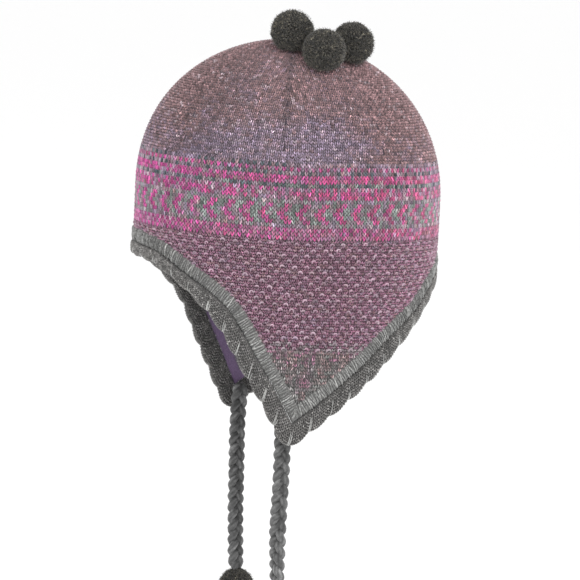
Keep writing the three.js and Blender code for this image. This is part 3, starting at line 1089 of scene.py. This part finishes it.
def tip_guide(knit, colours, limit, rng):
    """The grey stitches of the flaps' tips, with rosy and plum ones and a pink fleck."""
    stitch = knit.tip_stitch / MM
    count = int(round(ROUND / stitch))
    turns = even_turns(count)
    parts = []
    for depth in np.arange(TIP_TOP + 0.4, FLAP_DEPTH, 0.9 * stitch):
        depths = depth + rng.normal(0.0, 0.2, count)
        part = level_guide(turns, depths, knit, stitch, 1.25 * stitch)
        grey = 0.9 * flecked(colours.light_grey, count, rng, 0.22)
        rosy = marled(part["places"], colours, 91, 1.0)
        rosiness = 0.8 - (depth - TIP_TOP) / 45.0 + rng.normal(0.0, 0.3, count)
        blend = mix(grey, rosy, np.clip(rosiness, 0.0, 1.0))
        still_plum = rng.random(count) < 0.35 * (1.0 - smoothstep(depth, TIP_TOP, TIP_TOP + 12.0))
        plum = 1.1 * flecked(colours.plum, count, rng, 0.25)
        yarn = 0.82 * mix(blend, plum, 0.8 * still_plum)
        x, y, z = part["places"].T
        away = np.hypot(y - PINK_FLECK[0], z - PINK_FLECK[1])
        part["yarn"] = mix(yarn, colours.pink, 0.38 * np.exp(-(away / 3.6) ** 2) * (x > 0.0))
        parts.append(part)
    return kept_inside(parts, limit)


# Edging


def squared(value, power=SQUARENESS):
    """A sine or cosine, bent so that a section made from it is fuller than a circle."""
    return np.sign(value) * np.abs(value) ** power


class Edging:
    """A rounded bar along the edge between two insets; places on it are given by scallops
    along the edge and an angle round the bar, 0 towards the cloth and 90 degrees outside."""

    def __init__(self, low, high, thickness, scalloped=False, square=False):
        if square:
            self.low, self.high = square_rings(low, high)
        else:
            self.low, self.high = (edge_ring(inset, EDGE_SAMPLES) for inset in (low, high))
        self.width = high - low
        self.thickness = thickness
        self.scalloped = scalloped

    def even_angles(self, count):
        """Angles that are evenly spaced along the bar's section."""
        angles = np.linspace(0.0, 2.0 * math.pi, SECTION_STEPS + 1)
        across = squared(np.cos(angles)) * self.width
        out = squared(np.sin(angles)) * self.thickness
        lengths = length_along(across, out)
        return np.interp((np.arange(count) + 0.5) / count * lengths[-1], lengths, angles)

    def ring(self, table, along):
        """Turns and depths along one side of the bar."""
        turns, depths = table
        samples = np.arange(len(turns) + 1) / EDGE_SAMPLES
        turns = np.append(turns, turns[0] + 2.0 * math.pi)
        depths = np.append(depths, depths[0])
        along = np.mod(along, SCALLOPS)
        return np.interp(along, samples, turns), np.interp(along, samples, depths)

    def places(self, along, angle, proud=0.0):
        """Places on the bar's surface, or that much proud of it."""
        along, angle = np.broadcast_arrays(np.asarray(along, float), np.asarray(angle, float))
        rise = np.abs(np.sin(math.pi * along)) ** 0.8 if self.scalloped else np.ones_like(along)
        recede = SCALLOP_DEPTH * (rise - 1.0) / WELT_WIDTH if self.scalloped else 0.0
        share = 0.5 + 0.5 * squared(np.cos(angle))
        share = share - recede * (1.0 - share)
        low_turn, low_depth = self.ring(self.low, along)
        high_turn, high_depth = self.ring(self.high, along)
        turn = low_turn + share * (high_turn - low_turn)
        depth = low_depth + share * (high_depth - low_depth)
        half = 0.5 * self.thickness * (1.0 - SCALLOP_PINCH * (1.0 - rise))
        return off_knit(turn, depth, -0.5 * KNIT_WALL + (half + proud) * squared(np.sin(angle)))

    def shell(self, per_scallop, sides, proud):
        """A closed skin round the bar, that much proud of its surface."""
        along = np.arange(SCALLOPS * per_scallop) / per_scallop
        lines = [self.places(along, angle, proud) for angle in self.even_angles(sides)]
        points = np.stack(lines, axis=1)
        faces = ring_faces(len(along), sides, closed_rows=True)
        return points.reshape(-1, 3), faces

    def frame_at(self, along, angle):
        """Place, way out and way up across the bar at a place on its surface."""
        step = 0.004
        here = self.places(along, angle)
        edgeways = self.places(along + step, angle) - self.places(along - step, angle)
        upwards = self.places(along, angle - 0.02) - self.places(along, angle + 0.02)
        out = unit(np.cross(edgeways, upwards))
        centre = 0.5 * (self.places(along, 0.0) + self.places(along, math.pi))
        facing = np.sign(np.sum(out * (here - centre), axis=-1, keepdims=True))
        return here, out * facing, unit(upwards)


# Pompoms


def crown_place(seat):
    """Turn and depth of a seat, which is given as shares of the half width and half length."""
    share = math.hypot(seat[0], seat[1])
    depth = CROWN_HEIGHT * (1.0 - (1.0 - share * share) ** (1.0 / CROWN_FULLNESS))
    return math.atan2(seat[1], seat[0]), depth


def pompom_seat(seat):
    """Centre of a crown pompom and the way out of the crown under it."""
    turn, depth = (np.array([value]) for value in crown_place(seat))
    gap = SEAM_GAP + 0.5 * CROWN_POMPOM * POMPOM_SEAT
    return off_knit(turn, depth, np.array([gap]))[0], knit_normal(turn, depth)[0]


def seat_beside(seat, heading):
    """The seat in a heading from another at which the two pompoms just clear each other."""
    way = math.radians(heading)
    stride = np.array([math.cos(way) / HALF_WIDTH, math.sin(way) / HALF_LENGTH])
    centre = pompom_seat(seat)[0]
    near, far = 0.0, 2.0 * CROWN_POMPOM
    for _ in range(40):
        middle = 0.5 * (near + far)
        apart = np.linalg.norm(pompom_seat(seat + middle * stride)[0] - centre)
        if apart < CROWN_POMPOM + SEAM_GAP:
            near = middle
        else:
            far = middle
    return seat + far * stride


def even_directions(count, rng, scatter_angle):
    """Directions spread evenly over a ball, each a little out of place."""
    k = np.arange(count)
    z = 1.0 - (2.0 * k + 1.0) / count
    rim = np.sqrt(1.0 - z * z)
    golden = math.pi * (3.0 - math.sqrt(5.0))
    ways = np.column_stack([rim * np.cos(golden * k), rim * np.sin(golden * k), z])
    return unit(ways + rng.normal(0.0, scatter_angle, ways.shape))


def yarn_ends(places, ways, lean, thickness, lengths, rng):
    """A guide for ends of yarn that stand out of a ball."""
    return {
        "places": places,
        "out": unit(ways + rng.normal(0.0, lean, ways.shape)),
        "up": unit(np.cross(ways, [0.31, 0.52, 0.79])),
        "fit": np.column_stack([
            np.full((len(ways), 2), thickness), np.broadcast_to(lengths, len(ways)),
        ]),
    }


def pompom_parts(name, centre, up, radius, floor, wool, colours, seed):
    """A wool ball: a dense core, blunt cut ends all over it, and loose fibres. It is cut flat
    at the floor, a height over its centre."""
    rng = np.random.default_rng(seed)
    charcoal = np.asarray(colours.charcoal)

    def directions(count, scatter_angle):
        ways = even_directions(count, rng, scatter_angle)
        return ways[(ways * radius) @ up > floor + 0.6]

    core_ways = even_directions(CORE_POINTS, rng, 0.0)
    lumps = 1.0 + 0.03 * patches(core_ways * radius, 5.0, seed)
    points = core_ways * (radius * 0.86 * lumps)[:, None]
    points += np.outer(np.maximum(floor + 0.3 - points @ up, 0.0), up)
    core = hull_object(name, points + centre)
    # Painted shade: the core under the tufts at half the charcoal
    paint(core, 0.5 * charcoal)

    ways = directions(wool.tufts, 0.03)
    lumps = 1.0 + 0.025 * patches(ways * radius, 5.5, seed + 3)
    length = 0.26 * radius
    reach = radius * lumps * (1.0 + rng.normal(0.0, 0.014, len(ways))) - length
    tufts = yarn_ends(centre + ways * reach[:, None], ways, 0.12, wool.tuft / MM, length, rng)
    tones = rng.normal(-0.3, 0.75, len(ways)) + 0.85 * patches(ways * radius, 2.6, seed + 9)
    tufts["yarn"] = charcoal * np.exp(tones)[:, None]

    ways = directions(wool.hairs, 0.08)
    lengths = radius * (0.10 + 0.05 * rng.random(len(ways)))
    hairs = yarn_ends(centre + ways * (radius * 0.97), ways, 0.45, wool.hair / MM, lengths, rng)
    # Painted sheen: the loose fibres are 2.3 times lighter than the charcoal, as fine fibres catching the
    # light
    hairs["yarn"] = 2.3 * flecked(charcoal, len(ways), rng, 0.2)
    return core, tufts, hairs


def hull_object(name, points):
    """A closed convex skin over points."""
    mesh = bpy.data.meshes.new(name)
    work = bmesh.new()
    for point in points * MM:
        work.verts.new(point)
    bmesh.ops.convex_hull(work, input=work.verts)
    loose = [vert for vert in work.verts if not vert.link_faces]
    bmesh.ops.delete(work, geom=loose, context="VERTS")
    bmesh.ops.recalc_face_normals(work, faces=work.faces)
    work.to_mesh(mesh)
    work.free()
    mesh.polygons.foreach_set("use_smooth", np.ones(len(mesh.polygons), dtype=bool))
    return new_object(name, mesh)


# Operators


class CHULLO_OT_stage(bpy.types.Operator):
    """Sets the floor, the light and the camera"""

    bl_idname = "chullo.stage"
    bl_label = "Stage"

    def execute(self, context):
        stage = context.scene.chullo_stage
        self.camera(context, stage)
        self.floor(stage)
        self.light(context, stage)
        return {"FINISHED"}

    def camera(self, context, stage):
        azimuth, elevation, roll = stage.azimuth, stage.elevation, stage.roll
        right = Vector((math.cos(azimuth), math.sin(azimuth), 0.0))
        level = Vector((math.sin(azimuth), -math.cos(azimuth), 0.0))
        back = level * math.cos(elevation) + Vector((0.0, 0.0, math.sin(elevation)))
        up = back.cross(right)
        across = right * math.cos(roll) + up * math.sin(roll)
        down = right * math.sin(roll) - up * math.cos(roll)
        scale = stage.view_width / PHOTO_PIXELS
        aim = HAT_POINT + across * (PICTURE_SHIFT[0] * scale) + down * (PICTURE_SHIFT[1] * scale)
        place = HAT_POINT + back * stage.distance
        away = (place - aim).normalized()
        across = (across - away * across.dot(away)).normalized()
        upward = away.cross(across)
        lens = bpy.data.cameras.new("photo_camera")
        lens.sensor_width = SENSOR_WIDTH
        lens.lens = SENSOR_WIDTH * stage.distance / stage.view_width
        lens.clip_end = 200.0
        camera = new_object("photo_camera", lens)
        turned = Matrix((across, upward, away)).transposed().to_4x4()
        camera.matrix_world = Matrix.Translation(place) @ turned
        context.scene.camera = camera

    def floor(self, stage):
        half, low = FLOOR_HALF, -stage.floor / MM
        corners = [(-half, -half, low), (half, -half, low), (half, half, low), (-half, half, low)]
        floor = mesh_object("floor", corners, [(0, 1, 2, 3)], smooth=False)
        material, surface = surface_material("Pale floor")
        feed(surface, {
            "Roughness": 0.9, "Specular IOR Level": 0.1, "Base Color": (0.99, 0.99, 0.99, 1.0),
        })
        dress(floor, material)

    def light(self, context, stage):
        world = bpy.data.worlds.new("studio")
        world.use_nodes = True
        sky = world.node_tree.nodes["Background"]
        sky.inputs["Color"].default_value = (1.0, 1.0, 1.0, 1.0)
        sky.inputs["Strength"].default_value = stage.sky
        context.scene.world = world
        context.scene.view_settings.view_transform = "Standard"
        lamps = (
            ("key_light", stage.key, 1.2, Vector((1.8, 0.3, 1.1))),
            ("fill_light", stage.fill, 1.6, Vector((0.6, -1.9, 0.5))),
        )
        for name, power, size, place in lamps:
            lamp = bpy.data.lights.new(name, "AREA")
            lamp.shape = "DISK"
            lamp.energy = power
            lamp.size = size
            light = new_object(name, lamp)
            toward = (Vector((0.0, 0.0, -0.12)) - place).to_track_quat("-Z", "Y")
            light.matrix_world = Matrix.Translation(place) @ toward.to_matrix().to_4x4()


class CHULLO_OT_ties(bpy.types.Operator):
    """Plaits the two braided ties"""

    bl_idname = "chullo.ties"
    bl_label = "Braided Ties"

    def execute(self, context):
        ties, colours = context.scene.chullo_ties, context.scene.chullo_colours
        for side, route, turning in (
            ("left", LEFT_TIE_ROUTE, 75.0), ("right", RIGHT_TIE_ROUTE, -20.0),
        ):
            braid = self.braid("braid_" + side, route, math.radians(turning), ties, colours)
            dress(braid, wool_material("Braid wool"))
            finish_piece(braid, "grey_knit", "tie_" + side)
        return {"FINISHED"}

    def braid(self, name, route, turning, ties, colours):
        """Three strands of plied yarn, plaited along a route; the braid turns by an angle on
        its way down."""
        line = smooth_line(route, BRAID_STEPS)
        down = np.linspace(0.0, TIE_LENGTH, len(line))
        along = unit(np.gradient(line, axis=0))
        wide = unit(np.cross([1.0, 0.0, 0.0], along))
        thick = np.cross(along, wide)
        turn = turning * smoothstep(down, 55.0, 105.0)[:, None]
        wide, thick = (wide * np.cos(turn) + thick * np.sin(turn),
                       thick * np.cos(turn) - wide * np.sin(turn))
        radius = 0.5 * ties.strand / MM
        reach = 0.5 * ties.width / MM - radius
        lift = 0.5 * ties.thickness / MM - radius
        gather = smoothstep(down, -2.0, 5.0) * (1.0 - 0.3 * smoothstep(down, 120.0, 127.0))
        ends = np.minimum(smoothstep(down, -1.0, 3.0), 1.0 - smoothstep(down, 124.0, 128.0))
        sides = 4 * ties.plies
        swirl = around(sides) + (2.0 * math.pi * down / 21.0)[:, None]
        ripple = np.cos(ties.plies * swirl)
        radii = radius * (0.75 + 0.25 * ends)[:, None] * (1.0 + 0.06 * ripple)
        lobe = np.mod(swirl / (2.0 * math.pi) * ties.plies + 0.5, ties.plies).astype(int)
        grey = np.asarray(colours.braid_grey)
        parts, shades = [], []
        rng = np.random.default_rng(17)
        for strand, strand_tone in enumerate((0.75, 0.95, 1.2)):
            phase = 2.0 * math.pi * (down / (ties.plait / MM) + strand / 3.0)
            sway = wide * (reach * np.sin(phase))[:, None] + thick * (lift * np.sin(2.0 * phase))[:, None]
            parts.append(tube(line + gather[:, None] * sway, radii, sides, thick.mean(axis=0)))
            tones = strand_tone * np.exp(rng.normal(0.0, 0.16, ties.plies))
            # Painted shade: each ply is darker in the grooves between the plies
            shades.append((tones[lobe] * (0.8 + 0.2 * ripple)).reshape(-1, 1) * grey)
            shades.append(np.tile(grey, (2, 1)))
        points, faces = joined(parts)
        obj = mesh_object(name, points, faces)
        # Painted shade: the yarn is darker close to the braid's centre line, deep in the crossings of the
        # strands
        nearest = np.interp(-points[:, 2], -line[:, 2], np.arange(len(line)))
        away = np.linalg.norm(points - line[np.round(nearest).astype(int)], axis=1)
        crossing_shade = 0.42 + 0.68 * smoothstep(away, 2.2, 4.6)
        marl = np.exp(0.4 * patches(points, 1.5, 7) + 0.22 * patches(points, 30.0, 4))
        paint(obj, np.vstack(shades) * (crossing_shade * marl)[:, None])
        return obj


class CHULLO_OT_cloth(bpy.types.Operator):
    """Makes the knitted wall that the stitches stand on"""

    bl_idname = "chullo.cloth"
    bl_label = "Knitted Wall"

    def execute(self, context):
        colours = context.scene.chullo_colours
        turns, depths = edge_ring(BODY_INSET - WALL_UNDER_RIDGE, 6)
        rings, marks = [], []
        for inner, rows in ((False, 64), (True, 40)):
            shares = (np.arange(rows) + 0.5) / (rows - 0.5)
            for share in shares[::-1] if inner else shares:
                here = depths * share ** 1.3
                rings.append(off_knit(turns, here, -KNIT_WALL if inner else -GROUND_SINK))
                marks.append(ground_colours(turns, here, inner, colours))
        faces = [face[::-1] for face in ring_faces(len(rings), len(turns))]
        poles = np.array([[0.0, 0.0, KNIT_WALL - GROUND_SINK], [0.0, 0.0, 0.0]])
        points = np.vstack(rings + [poles])
        top, under, last = len(points) - 2, len(points) - 1, (len(rings) - 1) * len(turns)
        for k in range(len(turns)):
            m = (k + 1) % len(turns)
            faces.append((top, k, m))
            faces.append((under, last + m, last + k))
        cloth = mesh_object("knitted_wall", points, faces)
        paint(cloth, np.vstack(marks + [marks[0][:1], marks[-1][:1]]))
        dress(cloth, wool_material("Knit ground"))
        finish_piece(cloth, "mauve_knit", "knit_body")
        return {"FINISHED"}


class CHULLO_OT_crown(bpy.types.Operator):
    """Knits the crown, stitch by stitch"""

    bl_idname = "chullo.crown"
    bl_label = "Crown Stitches"

    def execute(self, context):
        knit = context.scene.chullo_knit
        guide = crown_guide(knit, context.scene.chullo_colours)
        wool = wool_material("Marled knit")
        knit_legs(
            "crown_stitches", guide, wool, "mauve_knit", 1.3 * knit.unevenness, seed=3, spread=0.28
        )
        return {"FINISHED"}


class CHULLO_OT_band(bpy.types.Operator):
    """Knits the pattern band from its chart"""

    bl_idname = "chullo.band"
    bl_label = "Pattern Band"

    def execute(self, context):
        knit = context.scene.chullo_knit
        guide = band_guide(knit, context.scene.chullo_colours, EdgeLimit(STITCH_LIMIT))
        wool = wool_material("Marled knit")
        knit_legs(
            "band_stitches", guide, wool, "mauve_knit", 0.9 * knit.unevenness, seed=5, spread=0.29,
            fine=True,
        )
        return {"FINISHED"}


class CHULLO_OT_flaps(bpy.types.Operator):
    """Knits the flaps: moss stitch with raised dots, and plain grey tips"""

    bl_idname = "chullo.flaps"
    bl_label = "Flap Stitches"

    def execute(self, context):
        knit, colours = context.scene.chullo_knit, context.scene.chullo_colours
        limit, rng = EdgeLimit(STITCH_LIMIT), np.random.default_rng(53)
        plain, dots = moss_guides(knit, colours, limit, rng)
        tips = tip_guide(knit, colours, limit, rng)
        wool = wool_material("Marled knit")
        loose = 2.0 * knit.unevenness
        knit_legs("flap_stitches", plain, wool, "mauve_knit", loose, seed=7, spread=0.18)
        bump = unit_shape("bump_unit", *spindle(
            [(-0.34, -0.46, -0.3), (-0.38, 0.0, 0.30), (-0.2, 0.30, 0.52), (0.2, 0.30, 0.52),
             (0.38, 0.0, 0.30), (0.34, -0.46, -0.3)],
            [0.17, 0.19, 0.19, 0.17], [0.44, 0.48, 0.48, 0.44], 5))
        finish_piece(scatter("flap_moss_dots", bump, dots, wool, loose, seed=9), "mauve_knit")
        bpy.data.objects.remove(bump)
        knit_legs("flap_tip_stitches", tips, wool, "grey_knit", loose, seed=11, spread=0.45)
        return {"FINISHED"}


class CHULLO_OT_rib(bpy.types.Operator):
    """Makes the ribbed ridge along the edge"""

    bl_idname = "chullo.rib"
    bl_label = "Ribbed Ridge"

    def execute(self, context):
        trim, colours = context.scene.chullo_trim, context.scene.chullo_colours
        bar = (RIB_INSET, RIB_INSET + RIB_WIDTH, RIB_THICKNESS)
        self.core(Edging(*bar), colours)
        self.ridges(Edging(*bar, square=True), trim, colours)
        return {"FINISHED"}

    def core(self, edging, colours):
        core = mesh_object("rib_core", *edging.shell(8, CORE_SIDES, -0.6))
        # Painted shade: the core is dark grey where it shows between the cross ribs, and its inner side
        # takes the lining's purple grey, darkened the same way
        inside = smoothstep(-np.sin(edging.even_angles(CORE_SIDES)), 0.0, 0.6)
        grey = 0.42 * np.asarray(colours.light_grey)
        shade = mix(grey, 0.5 * lining_colour(colours), inside)
        paint(core, np.tile(shade, (len(core.data.vertices) // CORE_SIDES, 1)))
        dress(core, wool_material("Grey edging wool"))
        finish_piece(core, "grey_knit", "edge_rib")

    def ridges(self, edging, trim, colours):
        """A bent yarn across the outside of the bar for each cross rib."""
        rng = np.random.default_rng(23)
        count = int(round(SCALLOPS * SCALLOP_LENGTH / (trim.rib_pitch / MM)))
        along = np.arange(count) * SCALLOPS / count
        inner, outer = edging.places(along, 0.0), edging.places(along, math.pi)
        high, low = edging.places(along, 0.5 * math.pi), edging.places(along, 1.5 * math.pi)
        forehead_and_nape = 1.0 - smoothstep(-inner[:, 2], 150.0, 178.0)
        tips = smoothstep(-inner[:, 2], 200.0, 230.0)
        shade = 0.84 + 0.1 * patches(0.5 * (inner + outer), 9.0, 3)
        shade = shade - 0.16 * forehead_and_nape - 0.08 * tips
        guide = {
            "places": 0.25 * (inner + outer + high + low), "out": unit(high - low),
            "up": unit(inner - outer),
            "fit": np.column_stack([
                np.full(count, trim.rib_wire / MM),
                np.linalg.norm(inner - outer, axis=1),
                np.linalg.norm(high - low, axis=1),
            ]),
            "yarn": flecked(colours.light_grey, count, rng, 0.22) * shade[:, None],
        }
        angles = np.linspace(-0.25, math.pi + 0.25, 11)
        arc = 0.46 * np.column_stack([
            0.0 * angles, squared(np.cos(angles), 0.75), squared(np.sin(angles), 0.75),
        ])
        wire = unit_shape("rib_unit", *arc_wire(arc, 0.5, 0.085, 0.13))
        wool = wool_material("Marled ridge wool")
        piece = scatter("rib_ridges", wire, guide, wool, unevenness=0.22, seed=13)
        finish_piece(piece, "grey_knit")
        bpy.data.objects.remove(wire)


def arc_wire(arc, half_width, half_across, half_out):
    """A yarn of four sides along an arc in Y and Z; it is half_width thick along X."""
    outward = unit(arc)
    thick = np.abs(outward) @ np.array([0.0, half_across, half_out])
    side = np.array([1.0, 0.0, 0.0])
    corners = [arc + outward * thick[:, None], arc - side * half_width,
               arc - outward * thick[:, None], arc + side * half_width]
    points = np.stack(corners, axis=1).reshape(-1, 3)
    end = (len(arc) - 1) * 4
    caps = [(3, 2, 1, 0), (end, end + 1, end + 2, end + 3)]
    return points, ring_faces(len(arc), 4) + caps


class CHULLO_OT_welt(bpy.types.Operator):
    """Makes the puffed, scalloped welt and the threads that pinch it"""

    bl_idname = "chullo.welt"
    bl_label = "Scalloped Welt"

    def execute(self, context):
        trim, colours = context.scene.chullo_trim, context.scene.chullo_colours
        edging = Edging(0.0, WELT_WIDTH, WELT_THICKNESS, scalloped=True)
        edging.width = FLAP_WELT_WIDTH
        wool = wool_material("Grey edging wool")
        core = mesh_object("welt_core", *edging.shell(12, CORE_SIDES, -0.95))
        # Painted shade: the core under the welt's stitches at 0.3 of the mid grey
        paint(core, 0.30 * np.asarray(colours.mid_grey))
        dress(core, wool)
        finish_piece(core, "grey_knit", "edge_scallops")
        guide = self.stitches(edging, trim.welt_stitch / MM, colours)
        knit_legs("welt_stitches", guide, wool, "grey_knit", 0.3, seed=15, spread=0.26)
        self.tacks(edging, trim, colours, wool)
        return {"FINISHED"}

    def stitches(self, edging, stitch, colours):
        """Stitches all round the welt, with painted shade in the groove beside the ridge and a little on
        the welt's inner side.
        """
        count = int(round(SCALLOPS * SCALLOP_LENGTH / stitch))
        girth = 2.0 * (FLAP_WELT_WIDTH + 0.7 * WELT_THICKNESS)
        rows = int(round(girth / (0.9 * stitch)))
        along = np.repeat((np.arange(count) + 0.5) * SCALLOPS / count, rows)
        angle = np.tile(edging.even_angles(rows), count)
        places, out, up = edging.frame_at(along, angle)
        # Painted shade: darker in the groove beside the ridge and a little darker on the welt's inner
        # side
        groove_shade = 1.0 - 0.3 * smoothstep(np.cos(angle), 0.55, 0.95)
        inside = 1.0 - 0.06 * smoothstep(-np.sin(angle), -0.2, 0.5)
        yarn = flecked(colours.mid_grey, len(along), np.random.default_rng(29), 0.24)
        return {
            "places": places - 0.75 * out, "out": out, "up": up,
            "fit": np.tile([stitch, stitch, 1.3], (len(along), 1)),
            "yarn": yarn * (groove_shade * inside)[:, None],
        }

    def tacks(self, edging, trim, colours, wool):
        """Two or three light threads over the welt at each pinch, from its edge inwards."""
        rng = np.random.default_rng(37)
        steps = np.linspace(-1.0, 1.0, 9)
        proud = 0.45 - 0.9 * np.abs(steps) ** 4.0
        parts, shades = [], []
        for scallop in range(SCALLOPS):
            for shift in (-0.05, 0.0, 0.05):
                if rng.random() < 0.15:
                    continue
                lean = rng.normal(0.02, 0.025)
                along = scallop + shift + rng.normal(0.0, 0.008) + lean * steps
                angle = np.radians(np.linspace(168.0, rng.uniform(78.0, 98.0), len(steps)))
                line = edging.places(along, angle, proud)
                parts.append(tube(line, 0.5 * trim.tack_thread / MM, 4))
                tone = 1.5 * math.exp(rng.normal(0.0, 0.15))
                shades.append(np.tile(tone * np.asarray(colours.light_grey), (len(parts[-1][0]), 1)))
        threads = mesh_object("tack_threads", *joined(parts))
        paint(threads, np.vstack(shades))
        dress(threads, wool)
        finish_piece(threads, "grey_knit")


class CHULLO_OT_pompoms(bpy.types.Operator):
    """Makes the wool pompoms of the crown and the ties"""

    bl_idname = "chullo.pompoms"
    bl_label = "Pompoms"

    def execute(self, context):
        wool, colours = context.scene.chullo_pompoms, context.scene.chullo_colours
        material = wool_material("Pompom wool")
        tuft = self.end_unit("tuft_unit", 0.82, 4)
        hair = self.end_unit("hair_unit", 0.5, 3)
        for ball, (name, centre, up, radius, floor) in enumerate(self.balls()):
            core, tufts, hairs = pompom_parts(
                name + "_wool", centre, up, radius, floor, wool, colours, seed=41 + ball
            )
            dress(core, material)
            ends = scatter(name + "_tufts", tuft, tufts, material, 0.1, seed=19 + ball)
            fibres = scatter(name + "_hairs", hair, hairs, material, 0.2, seed=29 + ball)
            finish_piece(core, "charcoal_wool", name)
            finish_piece(ends, "charcoal_wool")
            finish_piece(fibres, "charcoal_wool")
        bpy.data.objects.remove(tuft)
        bpy.data.objects.remove(hair)
        return {"FINISHED"}

    def end_unit(self, name, widest, sides):
        """A straight end of yarn along Z, widest at a share of its length."""
        line = [(0.0, 0.0, 0.0), (0.0, 0.0, widest), (0.0, 0.0, 1.0)]
        return unit_shape(name, *spindle(line, [0.5], [0.5], sides, (1.0, 0.0, 0.0)))

    def balls(self):
        """Each pompom's node, centre, up direction, radius and the floor it is cut flat at;
        those of the ties are whole, so their floor is far below."""
        radius = 0.5 * CROWN_POMPOM
        seats = {"crown_pompom_middle": MIDDLE_SEAT}
        for name, heading in POMPOM_HEADINGS.items():
            seats[name] = seat_beside(MIDDLE_SEAT, heading)
        floor = -radius * POMPOM_SEAT
        balls = [(name, *pompom_seat(seat), radius, floor) for name, seat in seats.items()]
        radius = 0.5 * TIE_POMPOM
        for side, route in (("left", LEFT_TIE_ROUTE), ("right", RIGHT_TIE_ROUTE)):
            end, above = np.array(route[-1]), np.array(route[-2])
            up = unit(above - end)
            centre = end - up * (SEAM_GAP + radius)
            balls.append(("tie_pompom_" + side, centre, up, radius, -10.0 * radius))
        return balls


class CHULLO_OT_soft_facts(bpy.types.Operator):
    """A step that does nothing."""

    bl_idname = "chullo.soft_facts"
    bl_label = "Soft Facts"

    def execute(self, context):
        return {"FINISHED"}


class CHULLO_PT_panel(bpy.types.Panel):
    """Lists the steps that build the hat"""

    bl_label = "Chullo Hat"
    bl_idname = "CHULLO_PT_panel"
    bl_space_type = "VIEW_3D"
    bl_region_type = "UI"
    bl_category = "Chullo"

    def draw(self, context):
        layout = self.layout
        for step in STEPS:
            layout.operator("chullo." + step)
        for group in GROUPS:
            settings = getattr(context.scene, group)
            box = layout.box()
            box.label(text=settings.bl_rna.description)
            for prop in settings.bl_rna.properties:
                if prop.identifier not in {"rna_type", "name"}:
                    box.prop(settings, prop.identifier)


STEPS = ("stage", "ties", "cloth", "crown", "band", "flaps", "rib", "welt", "pompoms", "soft_facts")
GROUPS = {
    "chullo_knit": ChulloKnitSettings,
    "chullo_trim": ChulloTrimSettings,
    "chullo_ties": ChulloTieSettings,
    "chullo_pompoms": ChulloPompomSettings,
    "chullo_colours": ChulloColours,
    "chullo_stage": ChulloStageSettings,
}
CLASSES = (
    *GROUPS.values(), CHULLO_OT_stage, CHULLO_OT_ties, CHULLO_OT_cloth, CHULLO_OT_crown,
    CHULLO_OT_band, CHULLO_OT_flaps, CHULLO_OT_rib, CHULLO_OT_welt, CHULLO_OT_pompoms,
    CHULLO_OT_soft_facts, CHULLO_PT_panel,
)


def register():
    for cls in CLASSES:
        bpy.utils.register_class(cls)
    for name, settings in GROUPS.items():
        setattr(bpy.types.Scene, name, bpy.props.PointerProperty(type=settings))


def unregister():
    for name in GROUPS:
        delattr(bpy.types.Scene, name)
    for cls in reversed(CLASSES):
        bpy.utils.unregister_class(cls)


def main():
    register()
    for step in STEPS:
        getattr(bpy.ops.chullo, step)()


if __name__ == "__main__":
    main()
